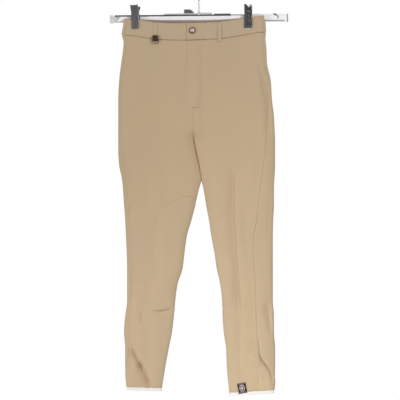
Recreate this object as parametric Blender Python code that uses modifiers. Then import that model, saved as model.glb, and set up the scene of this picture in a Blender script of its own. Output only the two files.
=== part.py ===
"""Riding breeches hanging by the waistband from a clip hanger.

Metres, +Z up.  The origin is the top of the inside of the hanger's hook, where a rail carries it.
+X runs to the wearer's left, which is the right side seen from the front, and -Y faces the front.
Heights in the tables are millimetres below the origin, in a column named down.
"""

import math

import bmesh
import bpy
import numpy as np
from mathutils import Matrix, Vector

MM = 0.001

# ---- driving sizes, in millimetres ----
CLOTH = 1.4                 # wall of the body cloth
BAND = 2.2                  # wall of the doubled waistband
TRIM = 1.0                  # wall of thin sewn-on pieces
SEAM = 0.3                  # gap between two pieces that meet
LIFT = 0.45                 # gap under a piece that lies on another
WAIST_SEAM = 164.0          # level line of the waist seam, before its curve is added
BAND_HEIGHT = 44.0
BAND_PROUD = 0.5            # how far the waistband stands out from the body cloth
CENTRE = -16.0              # x of the centre line at the waist
CROTCH = 421.0
CLOSING = 75.0              # height over which front and back come together above the crotch
CLOTH_HEM = 1064.0          # level line where the cloth of the legs ends
HEM_TAPE = 8.6              # white tape below the cloth
LEG_GAP = 1.0               # between the two legs where they hang side by side
CLOTH_PLANE = -12.0         # the pinched waistband lies this far in front of the hanger's bar
PINCH = 3.4                 # half the depth of the body cloth under the clips
ROUNDNESS = 2.6             # exponent of the sections' rounded side folds
CLIP_X = {"right": -166.0, "left": 128.0}
OUTWARD = {"right": -1, "left": 1}     # along x
LENGTHS = ("hip", "thigh", "calf")     # solids of a panel: short ones follow the hollow leg closely

BAND_STEPS = 4              # rows of the waistband
TRUNK_STEPS = 5             # rows from the waist seam to where the crotch starts to close
CROTCH_STEPS = 4            # rows from there to the crotch
LEG_STEPS = 24              # rows from the crotch to the hem
THIGH_STEPS = 10            # rows from the crotch to where a panel's thigh length meets its calf length
FRONT_STEPS = 12            # columns from the centre or inseam to the side seam
SIDE_STEPS = 3              # columns from the side seam to the outer fold
BACK_STEPS = 12             # columns from the outer fold to the centre back or inseam
LAST = FRONT_STEPS + SIDE_STEPS + BACK_STEPS

# ---- sections of the body, one row for each height ----
# outer and inner are the x of a half's two side folds; seam is the x of its side seam, which lies
# on the front; front and back are how far the cloth stands from the plane of the side folds.
SECTION_COLUMNS = ("down", "right_outer", "right_seam", "right_inner",
                   "left_inner", "left_seam", "left_outer", "front", "back")
SECTIONS = (
    (118, -193, -186, -16, -16, 165, 172, 15, 3.6),
    (142, -199, -192, -16, -16, 168, 175, 16, 4.4),
    (164, -195, -188, -16, -16, 167, 174, 17, 7),
    (200, -198, -191, -16, -16, 168, 175, 18, 13),
    (236, -203, -196, -16, -16, 170, 177, 20, 19),
    (276, -208, -201, -16, -16, 177, 187, 21, 24),
    (318, -210, -203, -16, -16, 178, 190, 21, 28),
    (360, -210, -203, -16, -16, 177, 195, 21, 30),
    (400, -210, -202, -15, -15, 176, 197, 21, 29),
    (421, -210, -201, -14, -14, 174, 198, 20, 28),
    (448, -210, -200, -9, -9, 173, 198, 20, 26),
    (484, -208, -197, -1, -1, 168, 198, 19, 25),
    (526, -200, -190, 6, 6, 162, 196, 18, 24),
    (547, -198, -187, 1, 11, 159, 195, 18, 23),
    (588, -195, -184, -9, 18, 155, 195, 18, 22),
    (630, -192, -181, -20, 26, 150, 193, 17, 21),
    (672, -190, -179, -32, 32, 143, 192, 17, 20),
    (714, -188, -177, -38, 40, 142, 192, 16, 19),
    (755, -187, -176, -43, 46, 144, 192, 16, 18),
    (796, -187, -176, -56, 55, 146, 192, 15, 18),
    (838, -187, -177, -62, 60, 147, 192, 15, 18),
    (880, -192, -181, -65, 61, 149, 195, 14, 18),
    (921, -195, -184, -70, 64, 151, 195, 14, 18),
    (962, -192, -182, -78, 70, 154, 198, 13, 17),
    (1004, -192, -182, -86, 72, 157, 198, 12, 16),
    (1046, -190, -180, -93, 76, 159, 197, 11, 14),
    (1075, -187, -177, -98, 80, 160, 194, 10, 12),
)

# ---- curves of the waist seam and of the hem ----
WAIST_COLUMNS = ("x", "front", "back")
WAIST = (
    (-200, 149, 149),
    (-166, 152, 151),
    (-127, 158, 153),
    (-100, 161, 154),
    (-60, 163, 154),
    (-30, 163, 154),
    (0, 162, 154),
    (44, 160, 153),
    (94, 153, 150),
    (133, 146, 145),
    (151, 143, 143),
    (180, 141, 141),
)
WAIST_FADE = (170.0, 330.0)     # the waist's curve dies out between these heights
HEM_COLUMNS = ("side", "outer", "inner")
HEM = (("right", 1063, 1066), ("left", 1071, 1078))
HEM_FADE = 964.0                # the hem's slope starts here

# ---- largest folds ----
# Each runs between two points of one face; depth is out when positive and in when negative.
FOLD_COLUMNS = ("face", "x1", "down1", "x2", "down2", "half_width", "depth")
FOLDS = (
    ("front", 86, 515, 91, 643, 20, 3.0),       # pressed crease of the left leg
    ("front", 91, 643, 101, 760, 20, 3.5),
    ("front", 101, 760, 105, 935, 18, 3.5),
    ("front", 151, 229, 176, 305, 13, -3.0),    # hip, pulled from the left clip
    ("front", 178, 848, 192, 892, 9, -2.5),
    ("front", -133, 872, -66, 861, 10, -2.5),   # behind the right knee, come round to the front
    ("front", -150, 889, -138, 908, 8, -1.5),
    ("front", -179, 958, -153, 997, 8, -3.0),   # tuck above the right hem
    ("front", -153, 997, -130, 1064, 11, -5.0),
    ("front", 10, 350, 8, 430, 9, -1.5),        # below the fly
    ("back", -150, 440, -40, 405, 16, -3.0),    # under the seat
    ("back", 140, 440, 30, 405, 16, -3.0),
    ("back", -165, 800, -80, 812, 12, -3.0),    # backs of the knees
    ("back", 75, 806, 170, 796, 12, -3.0),
    ("back", -150, 845, -85, 838, 10, -2.0),
    ("back", 170, 985, 125, 1050, 10, -3.0),
)
FOLD_MARGIN = 14.0              # folds die out this far from a side fold

# ---- sewn-on pieces ----
FLY = {"down": 165.5, "bottom": 343.0, "right": 15.0, "left": 25.0, "curve": 290.0,
       "taper": 0.6, "lift": 0.65}
OVERLAP = {"right_end": -8.0, "left_end": -32.0, "clear": 4.0, "ramp": 26.0, "step": 8.0}
LOOP = {"width": 10.0, "wall": 1.2, "bow": 1.2}
LOOP_COLUMNS = ("name", "face", "x", "tail")
LOOPS = (
    ("belt_loop_front_right", "front", -113.5, -7.5),
    ("belt_loop_front_left", "front", 53.0, 9.0),
    ("belt_loop_back_right", "back", -112.0, 9.0),
    ("belt_loop_back_centre", "back", -16.0, 9.0),
    ("belt_loop_back_left", "back", 84.0, 9.0),
)
KNEE = {"front_column": 6, "back_columns": 4, "corner": 598.0, "top": 568.0,
        "bottom": {"right": 866.0, "left": 852.0}}
FLAP = {"top": 942.0, "tip": 1040.0, "columns": 5}
FLAP_COLUMNS = ("across", "down")       # shares of the way to the outer fold and to the tip
FLAP_EDGE = ((0, 0), (0.13, 0.4), (0.4, 0.6), (0.8, 0.8), (1, 1), (2, 1.1))
LABEL = {"x": 112.0, "down": 1066.0, "width": 22.0, "height": 27.0, "turn": 10.0, "lift": 0.8}
TAB = {"x": -113.5, "down": 162.5, "height": 12.0, "width": 14.5, "wall": 1.5, "leaf": 0.9}
TAB_COLUMNS = ("y", "up")               # middle of the leather round the ring's straight bar
TAB_FOLD = ((TAB["leaf"], TAB["height"]), (0.9, 5.0), (1.35, 3.3), (1.95, 1.6), (2.15, 0.2), (1.85, -1.05),
            (1.05, -1.88), (0, -2.15))
RING = {"half_width": 8.5, "drop": 9.2, "shoulder": 1.5, "wire": 0.9}
BUTTON = {"x": -17.5, "down": 139.5, "stand": 0.35}
BUTTON_COLUMNS = ("radius", "height")   # domed cap in a raised rim
BUTTON_PROFILE = ((0, 3.3), (3.0, 3.2), (5.2, 2.8), (6.3, 1.9), (7.2, 2.3), (8.2, 2.2),
                  (8.7, 1.5), (8.5, 0.6), (7.6, 0.2), (4.5, 0.0), (0, 0.0))

# ---- hanger ----
BAR = {"length": 446.0, "depth": 7.0, "height": 18.0, "middle": 105.0, "tilt": 0.5}
CAP = {"length": 9.0, "depth": 9.0, "height": 21.0}
HUB = {"length": 72.0, "depth": 12.0, "height": 12.0}
HOOK = {"inner_radius": 18.0, "wire": 2.2, "first": -45.0, "last": 205.0}
STEM_COLUMNS = ("x", "down")            # bends of the hook's stem above the hub
STEM = ((0, 62), (0.6, 52), (3.5, 45), (8.5, 39))
BARREL = {"radius": 4.4, "length": 15.0}
PAD = {"wall": 1.3, "width": 15.0, "top": 117.0, "bottom": 134.0}
JAW_WALL = 1.6
# y is measured from the pinched cloth's middle plane; half is half the jaw's width there.
JAW_COLUMNS = ("y", "down", "half")
FRONT_JAW = ((-6.5, 70, 9.6), (-2.5, 77, 9.2), (6.2, 89.5, 7.4), (-6.0, 98.5, 7.2),
             (-6.8, 112, 8.2), (-6.9, 131.5, 9.2))
BACK_JAW = ((29.5, 70, 9.6), (25.5, 77, 9.2), (17.8, 89.5, 7.4), (19.3, 104, 7.6),
            (18.9, 116, 8.2), (8.0, 123, 8.8), (6.9, 131.5, 9.2))
CLIP_COLUMNS = ("side", "rise", "lean")
CLIPS = (("right", 0.0, 3.5), ("left", 1.5, 0.0))

# ---- colours, roughness and metal of each material ----
MATERIALS = {
    "beige_cloth": ((0.50, 0.37, 0.23), 0.9, 0.0),
    "facing_cloth": ((0.25, 0.22, 0.20), 0.9, 0.0),
    "white_tape": ((0.78, 0.76, 0.72), 0.8, 0.0),
    "brown_leather": ((0.07, 0.045, 0.022), 0.6, 0.0),
    "antique_metal": ((0.32, 0.24, 0.18), 0.35, 1.0),
    "label_cloth": ((0.03, 0.025, 0.03), 0.8, 0.0),
    "grey_plastic": ((0.09, 0.09, 0.095), 0.5, 0.0),
    "pad_rubber": ((0.75, 0.75, 0.73), 0.6, 0.0),
    "silver_bar": ((0.75, 0.75, 0.77), 0.3, 0.6),
    "steel_wire": ((0.6, 0.6, 0.61), 0.25, 1.0),
}


# ---- tables and curves ----
def column(table, names, name):
    """One column of a table as numbers."""
    return np.array([row[names.index(name)] for row in table], float)


def smooth(low, high, value):
    """0 below low, 1 above high, and an S curve between them."""
    t = np.clip((np.asarray(value, float) - low) / (high - low), 0, 1)
    return t * t * (3 - 2 * t)


def curve_through(x, y, at):
    """A smooth curve through points, with the slopes of its neighbours and no overshoot."""
    slope = np.diff(y) / np.diff(x)
    inner = np.where(slope[:-1] * slope[1:] > 0,
                     2 * slope[:-1] * slope[1:] / (slope[:-1] + slope[1:] + 1e-12), 0)
    tangent = np.concatenate([[slope[0]], inner, [slope[-1]]])
    at = np.clip(at, x[0], x[-1])
    i = np.clip(np.searchsorted(x, at) - 1, 0, len(x) - 2)
    width = x[i + 1] - x[i]
    t = (at - x[i]) / width
    return ((2 * t**3 - 3 * t**2 + 1) * y[i] + (t**3 - 2 * t**2 + t) * width * tangent[i]
            + (3 * t**2 - 2 * t**3) * y[i + 1] + (t**3 - t**2) * width * tangent[i + 1])


def section(name, down):
    return curve_through(column(SECTIONS, SECTION_COLUMNS, "down"),
                         column(SECTIONS, SECTION_COLUMNS, name), down)


def inner_x(side, down):
    """x of a half's inner edge: the centre line above the crotch, the leg's inner fold below it."""
    apart = LEG_GAP / 2 * smooth(CROTCH - 1, CROTCH, down)
    return section(side + "_inner", down) + (apart if side == "left" else -apart)


# ---- the surface of the body ----
def closing(down):
    """0 where front and back are apart at the centre line, 1 where each leg is a tube."""
    return smooth(CROTCH - CLOSING, CROTCH, down)


def clipped(x, down):
    """1 where the clips hold front and back together, 0 where the cloth is free."""
    middle = (CLIP_X["right"] + CLIP_X["left"]) / 2
    half = (CLIP_X["left"] - CLIP_X["right"]) / 2 - PAD["width"] / 2 - 4
    free = np.clip(1 - ((x - middle) / half) ** 2, 0, 1) ** 1.5
    return (1 - free) * (1 - smooth(150, 300, down))


def folds(face, x, down):
    """How far the large folds move the cloth out."""
    moved = np.zeros(np.broadcast(x, down).shape)
    for row in FOLDS:
        fold = dict(zip(FOLD_COLUMNS, row))
        if fold["face"] != face:
            continue
        run = np.array([fold["x2"] - fold["x1"], fold["down2"] - fold["down1"]], float)
        along = ((x - fold["x1"]) * run[0] + (down - fold["down1"]) * run[1]) / (run @ run)
        t = np.clip(along, 0, 1)
        away = np.hypot(x - fold["x1"] - t * run[0], down - fold["down1"] - t * run[1])
        moved += fold["depth"] * np.exp(-(away / fold["half_width"]) ** 2)
    return moved


def depth(side, face, x, down):
    """Distance of the cloth's outside from the plane of the side folds."""
    outer, inner = section(side + "_outer", down), inner_x(side, down)
    s = np.clip((x - inner) / (outer - inner), 0, 1)
    n, shut = ROUNDNESS, closing(down)
    whole = (1 - s**n) ** (1 / n)
    tube = (1 - np.abs(2 * s - 1) ** n) ** (1 / n)
    pinch = clipped(x, down)
    full = section(face, down) * ((1 - shut) * whole + shut * tube)
    flat = PINCH * (1 - s**8) ** (1 / 8)
    from_edge = np.minimum(np.abs(x - outer), np.where(shut > 0.5, np.abs(x - inner), 1e3))
    return full * (1 - pinch) + flat * pinch + folds(face, x, down) * smooth(0, FOLD_MARGIN, from_edge)


def fall(side, face, x, down):
    """True depth below the origin of a level line, with the curves of the waist and hem added."""
    waist = curve_through(column(WAIST, WAIST_COLUMNS, "x"), column(WAIST, WAIST_COLUMNS, face), x)
    hem = next(dict(zip(HEM_COLUMNS, row)) for row in HEM if row[0] == side)
    outer, inner = section(side + "_outer", CLOTH_HEM), inner_x(side, CLOTH_HEM)
    share = np.clip((x - outer) / (inner - outer), 0, 1)
    drop = hem["outer"] + (hem["inner"] - hem["outer"]) * share - CLOTH_HEM
    return (down + (waist - WAIST_SEAM) * (1 - smooth(*WAIST_FADE, down))
            + drop * np.clip((down - HEM_FADE) / (CLOTH_HEM - HEM_FADE), 0, 1))


def skin(side, face, x, down):
    """Points of the cloth's outside, in millimetres, on one face of one half."""
    x, down = np.broadcast_arrays(np.asarray(x, float), np.asarray(down, float))
    y = depth(side, face, x, down) * (-1 if face == "front" else 1)
    return np.stack([x, CLOTH_PLANE + y, -fall(side, face, x, down)], axis=-1)


def half_of(x, down):
    return "right" if x < section("right_inner", down) else "left"


def clustered(count, share):
    """Fractions from 0 to 1 that lie closer together at both ends."""
    even = np.linspace(0, 1, count + 1)
    return (1 - share) * even + share * (1 - np.cos(np.pi * even)) / 2


def along(line, at):
    """Points at given distances along a line of points."""
    length = np.concatenate([[0], np.cumsum(np.linalg.norm(np.diff(line, axis=0), axis=1))])
    return np.stack([np.interp(at, length, line[:, k]) for k in range(3)], axis=1), length


def ring(side, down):
    """One half's section: columns from the front's inner edge round the outer fold to the back's."""
    s = clustered(240, 1.0)
    outer, inner = section(side + "_outer", down), inner_x(side, down)
    x = inner + s * (outer - inner)
    front = skin(side, "front", x, down)
    back = skin(side, "back", x[::-1], down)
    _, front_length = along(front, [0])
    _, back_length = along(back, [0])
    reach = np.abs(x - inner)
    seam = np.interp(abs(section(side + "_seam", down) - inner), reach, front_length)
    rest = front_length[-1] - seam
    at_front = seam * clustered(FRONT_STEPS, 0.5)
    at_side = seam + rest * np.linspace(0, 1, SIDE_STEPS + 1) ** 0.7
    at_back = back_length[-1] * clustered(BACK_STEPS, 0.6)
    points = [along(front, at_front)[0], along(front, at_side)[0][1:], along(back, at_back)[0][1:]]
    return np.concatenate(points)


def rows_of(side, downs):
    return np.stack([ring(side, down) for down in downs])


def beyond_centre(own, other, downs):
    """A column past each half's inner edge, from which the seam's direction is worked out."""
    tube = (np.asarray(downs) >= CROTCH - SEAM)[:, None]
    return (np.where(tube, own[:, -2], other[:, 1]), np.where(tube, own[:, 1], other[:, -2]))


# ---- meshes ----
def material(name):
    made = bpy.data.materials.get(name)
    if made is None:
        colour, roughness, metallic = MATERIALS[name]
        made = bpy.data.materials.new(name)
        made.use_nodes = True
        shader = made.node_tree.nodes["Principled BSDF"]
        shader.inputs["Base Color"].default_value = (*colour, 1)
        shader.inputs["Roughness"].default_value = roughness
        shader.inputs["Metallic"].default_value = metallic
    return made


def add_object(name, data, finish, collection):
    obj = bpy.data.objects.new(name, data)
    data.materials.append(material(finish))
    collection.objects.link(obj)
    return obj


def mesh_from(name, points, faces):
    """A mesh from points in millimetres and lists of point numbers."""
    mesh = bpy.data.meshes.new(name)
    mesh.from_pydata([Vector(p) * MM for p in np.asarray(points).reshape(-1, 3)], [], faces)
    mesh.validate()
    mesh.shade_smooth()
    mesh.set_sharp_from_angle(angle=math.radians(50))
    return mesh


def cell_faces(rows, columns, first=0, flip=False):
    """Triangles of a grid of points, so that a piece laid on another shares its facets."""
    faces = []
    for r in range(rows - 1):
        for c in range(columns - 1):
            a = first + r * columns + c
            b, d, e = a + 1, a + columns + 1, a + columns
            for face in ([a, b, d], [a, d, e]):
                faces.append(face[::-1] if flip else face)
    return faces


def normals_of(grid):
    """Unit normals of a grid of points, pointing to the left of its columns seen down its rows."""
    across = np.gradient(grid, axis=1)
    downwards = np.gradient(grid, axis=0)
    normal = np.cross(downwards, across)
    return normal / np.linalg.norm(normal, axis=2, keepdims=True)


def wall(name, grid, finish, collection, thick, out=0.0, seams=(True, True), tips=()):
    """A cloth wall between two offsets of a grid whose first and last columns only give direction.

    tips lists the ends of the rows, -1 or 1 along x, where the cloth turns back in a narrow fold.
    """
    normal = normals_of(grid)[:, 1:-1]
    grid = grid[:, 1:-1].copy()
    normal *= np.sign(np.median((grid[..., 1] - CLOTH_PLANE) * normal[..., 1]))
    for has_seam, edge, beside in zip(seams, (0, -1), (1, -2)):
        if has_seam:
            step = grid[:, beside] - grid[:, edge]
            grid[:, edge] += step / np.linalg.norm(step, axis=1, keepdims=True) * SEAM / 2
    rows, columns = grid.shape[:2]
    outside, inside = grid + normal * out, grid + normal * (out - thick)
    for tip in tips:
        limit = (tip * outside[..., 0]).max(axis=1, keepdims=True) - thick
        inside[..., 0] = tip * np.minimum(tip * inside[..., 0], limit)
    face = np.sign(np.round(outside[..., 1] - CLOTH_PLANE, 2))
    apart = np.maximum(face * (inside[..., 1] - CLOTH_PLANE), SEAM / 2)
    inside[..., 1] = np.where(face == 0, inside[..., 1], CLOTH_PLANE + face * apart)
    count = rows * columns
    faces = cell_faces(rows, columns) + cell_faces(rows, columns, count, flip=True)
    border = ([c for c in range(columns)] + [r * columns + columns - 1 for r in range(1, rows)]
              + [(rows - 1) * columns + c for c in range(columns - 2, -1, -1)]
              + [r * columns for r in range(rows - 2, 0, -1)])
    for a, b in zip(border, border[1:] + border[:1]):
        faces.append([b, a, a + count, b + count])
    mesh = mesh_from(name, np.concatenate([outside.reshape(-1, 3), inside.reshape(-1, 3)]), faces)
    face_out(mesh)
    return add_object(name, mesh, finish, collection)


def face_out(mesh):
    shape = bmesh.new()
    shape.from_mesh(mesh)
    bmesh.ops.recalc_face_normals(shape, faces=shape.faces)
    shape.to_mesh(mesh)
    shape.free()


def cut_cells(grid, inside):
    """Points and faces of the part of a grid where inside is positive, cut straight across its facets."""
    rows, columns = inside.shape
    flat, level = grid.reshape(-1, 3), inside.reshape(-1)
    points, numbers, faces = [], {}, []

    def number(key, point):
        if key not in numbers:
            numbers[key] = len(points)
            points.append(point)
        return numbers[key]

    for corners in cell_faces(rows, columns):
        face = []
        for a, b in zip(corners, corners[1:] + corners[:1]):
            if level[a] > 0:
                face.append(number(a, flat[a]))
            if (level[a] > 0) != (level[b] > 0):
                low, high = min(a, b), max(a, b)
                t = level[low] / (level[low] - level[high])
                face.append(number((low, high), flat[low] + t * (flat[high] - flat[low])))
        if len(face) > 2:
            faces.append(face)
    return points, faces


def thickened(obj, thick, offset):
    """A cloth wall from an open surface, by a Solidify that grows along its normals."""
    shell = obj.modifiers.new("wall", "SOLIDIFY")
    shell.thickness = thick * MM
    shell.offset = offset
    shell.use_even_offset = True
    return obj


def laid_on(name, points, faces, finish, collection, thick=TRIM):
    """A piece whose underside is an open surface that already faces out."""
    return thickened(add_object(name, mesh_from(name, points, faces), finish, collection), thick, 1)


# ---- the body's panels ----
def build_body(collection):
    """Front and back panels of both legs, from the waist seam to the hem.  Returns their whole rings."""
    downs = np.concatenate([np.linspace(WAIST_SEAM + SEAM, CROTCH - CLOSING, TRUNK_STEPS + 1),
                            np.linspace(CROTCH - CLOSING, CROTCH, CROTCH_STEPS + 1)[1:],
                            np.linspace(CROTCH, CLOTH_HEM, LEG_STEPS + 1)[1:]])
    crotch = TRUNK_STEPS + CROTCH_STEPS
    cuts = (0, crotch, crotch + THIGH_STEPS, crotch + LEG_STEPS)
    for length, first, last in zip(LENGTHS, cuts[:-1], cuts[1:]):
        own_downs = downs[first:last + 1].copy()
        own_downs[0] += SEAM / 2 if first > 0 else 0
        own_downs[-1] -= SEAM / 2 if last < cuts[-1] else 0
        build_length(length, own_downs, collection)
    return downs, {side: rows_of(side, downs) for side in ("right", "left")}


def build_length(length, downs, collection):
    """One length of the four panels."""
    rings = {side: rows_of(side, downs) for side in ("right", "left")}
    seam = FRONT_STEPS
    for side, other in (("right", "left"), ("left", "right")):
        own = rings[side]
        past_front, past_back = beyond_centre(own, rings[other], downs)
        front = np.concatenate([past_front[:, None], own[:, :seam + 2]], axis=1)
        back = np.concatenate([own[:, seam - 1:], past_back[:, None]], axis=1)
        wall(f"front_{length}_{side}", front, "beige_cloth", collection, CLOTH)
        wall(f"back_{length}_{side}", back, "beige_cloth", collection, CLOTH, tips=(OUTWARD[side],))


def build_hem_tape(collection):
    """White tape round each hem, in a front and a back half."""
    tip = FRONT_STEPS + SIDE_STEPS
    for side in ("right", "left"):
        own = rows_of(side, [CLOTH_HEM + SEAM, CLOTH_HEM + HEM_TAPE])
        front = np.concatenate([own[:, -2:-1], own[:, :tip + 2]], axis=1)
        back = np.concatenate([own[:, tip - 1:], own[:, 1:2]], axis=1)
        wall("hem_tape_front_" + side, front, "white_tape", collection, CLOTH)
        wall("hem_tape_back_" + side, back, "white_tape", collection, CLOTH)


def build_knee_patch(side, downs, rings, collection):
    """Self-cloth patch on the inside of the knee, wrapped round the inseam."""
    own, front, back = rings[side], KNEE["front_column"], KNEE["back_columns"]
    order = list(range(LAST - back, LAST)) + list(range(front + 1))
    grid = own[:, order]
    normal = normals_of(grid)
    normal *= -np.sign(np.median(normal[:, -1, 1]))
    level = np.array(downs)[:, None] * np.ones(len(order))
    share = np.abs(np.arange(len(order)) - back - 1.5) / front
    top = KNEE["top"] + (KNEE["corner"] - KNEE["top"]) * share**2
    bottom = KNEE["bottom"][side]
    inside = np.minimum(level - top, bottom - level)
    keep = (level[:, 0] > KNEE["top"] - 60) & (level[:, 0] < bottom + 60)
    points, faces = cut_cells((grid + normal * LIFT)[keep], inside[keep])
    laid_on("knee_patch_" + side, points, facing(points, faces, -1), "beige_cloth", collection)


def facing(points, faces, sign):
    """The faces turned so that most of them point to the front (-1) or to the back (+1)."""
    points = np.asarray(points)
    total = sum(np.cross(points[f[1]] - points[f[0]], points[f[2]] - points[f[0]])[1] for f in faces)
    return faces if total * sign > 0 else [f[::-1] for f in faces]


def build_cuff_flap(side, downs, rings, collection):
    """Shaped flap of the hem's closure: from the side seam outwards, over the back panel."""
    seam, tip = FRONT_STEPS, FRONT_STEPS + SIDE_STEPS
    grid = rings[side][:, seam:seam + FLAP["columns"] + 1]
    normal = normals_of(rings[side][:, seam - 1:seam + FLAP["columns"] + 2])[:, 1:-1]
    normal *= -np.sign(np.median(normal[:, 0, 1]))
    level = np.array(downs)[:, None] * np.ones(grid.shape[1])
    seam_x, outer_x = grid[:, 0, 0], rings[side][:, tip, 0]
    share = np.abs(grid[..., 0] - seam_x[:, None]) / np.abs(outer_x - seam_x)[:, None]
    share[:, tip - seam + 1:] = 2 - share[:, tip - seam + 1:]
    edge = curve_through(column(FLAP_EDGE, FLAP_COLUMNS, "across"),
                         column(FLAP_EDGE, FLAP_COLUMNS, "down"), share)
    inside = level - FLAP["top"] - (FLAP["tip"] - FLAP["top"]) * edge
    keep = level[:, 0] > FLAP["top"] - 60
    points, faces = cut_cells((grid + normal * LIFT)[keep], inside[keep])
    laid_on("cuff_flap_" + side, points, facing(points, faces, -1), "beige_cloth", collection)


# ---- waistband and fly ----
def front_band(side, columns, extra, downs):
    """Front waistband points: a half's own ring columns, then x positions past its inner edge."""
    own = rows_of(side, downs)[:, columns]
    rest = np.stack([[skin(half_of(x, d), "front", x, d) for x in extra] for d in downs])
    return np.concatenate([own, rest], axis=1)


def build_waistband(collection):
    """Two front pieces that overlap under the button, and a back piece with its facing."""
    downs = np.linspace(WAIST_SEAM - BAND_HEIGHT, WAIST_SEAM - SEAM, BAND_STEPS + 1)
    seam = FRONT_STEPS
    under, over, ramp = OVERLAP["right_end"], OVERLAP["left_end"], OVERLAP["ramp"]

    columns = list(range(seam + 1, 0, -1))
    right = front_band("right", columns, [CENTRE, under, under + OVERLAP["step"]], downs)
    wall("waistband_front_right", right, "beige_cloth", collection, BAND, BAND_PROUD, (True, False))

    columns = list(range(seam + 1, 3, -1))
    past_centre = np.arange(-CENTRE, over - 2 * OVERLAP["step"], -OVERLAP["step"])
    left = front_band("left", columns, past_centre, downs)
    off_under = smooth(under + OVERLAP["clear"], under + OVERLAP["clear"] + ramp, left[..., 0])
    left[..., 1] -= (BAND + LIFT) * (1 - off_under)
    wall("waistband_front_left", left, "beige_cloth", collection, BAND, BAND_PROUD, (True, False))

    right, left = rows_of("right", downs), rows_of("left", downs)
    back = np.concatenate([right[:, seam - 1:], left[:, -2:seam - 2:-1]], axis=1)
    wall("waistband_back", back, "beige_cloth", collection, BAND, BAND_PROUD, tips=(-1, 1))
    tip = seam + SIDE_STEPS
    inner = np.concatenate([right[:, tip + 2:], left[:, -2:tip + 1:-1]], axis=1)
    wall("waistband_facing", inner[:-1], "facing_cloth", collection, TRIM,
         BAND_PROUD - BAND - SEAM, (False, False))


def build_fly(collection):
    """Overlap of the fly: a strip on both fronts, with a curved lower end."""
    downs = np.linspace(FLY["down"], FLY["bottom"], 8)
    taper = 1 - FLY["taper"] * smooth(FLY["curve"], FLY["bottom"], downs)
    shares = np.linspace(0, 1, 6)
    points = []
    for down, narrow in zip(downs, taper):
        right_edge = CENTRE - FLY["right"] * (1 + narrow) / 2
        left_edge = CENTRE + FLY["left"] * narrow
        for x in right_edge + shares * (left_edge - right_edge):
            point = skin(half_of(x, down), "front", x, down)
            points.append(point - [0, FLY["lift"], 0])
    faces = facing(points, cell_faces(len(downs), len(shares)), -1)
    laid_on("fly_overlap", points, faces, "beige_cloth", collection)


def build_belt_loop(name, face, x, tail, collection):
    """A bowed strip from the waistband's top edge to its seam or just past it."""
    sign = -1 if face == "front" else 1
    downs = np.linspace(WAIST_SEAM - BAND_HEIGHT + 0.5, WAIST_SEAM + tail, 8)
    xs = x + np.linspace(-0.5, 0.5, 3) * LOOP["width"]
    points = []
    for i, down in enumerate(downs):
        bow = LOOP["bow"] * math.sin(math.pi * i / (len(downs) - 1)) ** 0.5
        for at in xs:
            point = skin(half_of(at, down), face, at, down)
            points.append(point + [0, sign * (BAND_PROUD + LIFT + bow), 0])
    faces = facing(points, cell_faces(len(downs), len(xs)), sign)
    laid_on(name, points, faces, "beige_cloth", collection, LOOP["wall"])


def build_label(collection):
    """Small woven label over the left hem, plain."""
    turn = math.radians(LABEL["turn"])
    points = []
    for v in np.linspace(-0.5, 0.5, 5):
        for u in np.linspace(-0.5, 0.5, 4):
            across, downwards = u * LABEL["width"], v * LABEL["height"]
            x = LABEL["x"] + across * math.cos(turn) + downwards * math.sin(turn)
            true_down = LABEL["down"] - across * math.sin(turn) + downwards * math.cos(turn)
            level = true_down - (fall("left", "front", x, CLOTH_HEM) - CLOTH_HEM)
            point = skin("left", "front", x, level)
            points.append([x, point[1] - LABEL["lift"], -true_down])
    faces = facing(points, cell_faces(5, 4), -1)
    laid_on("hem_label", points, faces, "label_cloth", collection)


# ---- button, tab and ring ----
def turned(name, profile, finish, collection, steps=20):
    """A turned piece from radius and height pairs, with its axis on Z."""
    mesh = bpy.data.meshes.new(name)
    edges = [(i, i + 1) for i in range(len(profile) - 1)]
    mesh.from_pydata([(r * MM, 0, h * MM) for r, h in profile], edges, [])
    obj = add_object(name, mesh, finish, collection)
    screw = obj.modifiers.new("turn", "SCREW")
    screw.steps = screw.render_steps = steps
    screw.use_merge_vertices = True
    screw.merge_threshold = 0.00001
    screw.use_smooth_shade = True
    return obj


def build_button(collection):
    button = turned("waist_button", BUTTON_PROFILE, "antique_metal", collection)
    at = skin("right", "front", BUTTON["x"], BUTTON["down"])
    stand = BAND_PROUD + BAND + LIFT + BUTTON["stand"]
    button.location = Vector((at[0], at[1] - stand, at[2])) * MM
    button.rotation_euler = (math.radians(90), 0, 0)


def tab_place():
    """Where the ring's straight bar lies: in the fold of the leather tab."""
    face = skin("right", "front", TAB["x"], TAB["down"] - TAB["height"] / 3)
    stand = BAND_PROUD + LIFT + LOOP["bow"] + LOOP["wall"] + LIFT + TAB["wall"] / 2 + TAB["leaf"]
    return Vector((TAB["x"], face[1] - stand, -TAB["down"])) * MM


def build_tab(collection):
    """Folded leather keeper: two leaves sewn on the loop, with the ring in its fold."""
    path = list(TAB_FOLD) + [(-y, z) for y, z in reversed(TAB_FOLD[:-1])]
    half = TAB["width"] / 2
    points = [(x, y, z) for y, z in path for x in (-half, 0, half)]
    obj = add_object("leather_tab", mesh_from("leather_tab", points, cell_faces(len(path), 3)),
                     "brown_leather", collection)
    thickened(obj, TAB["wall"], 0)
    obj.location = tab_place()


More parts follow.
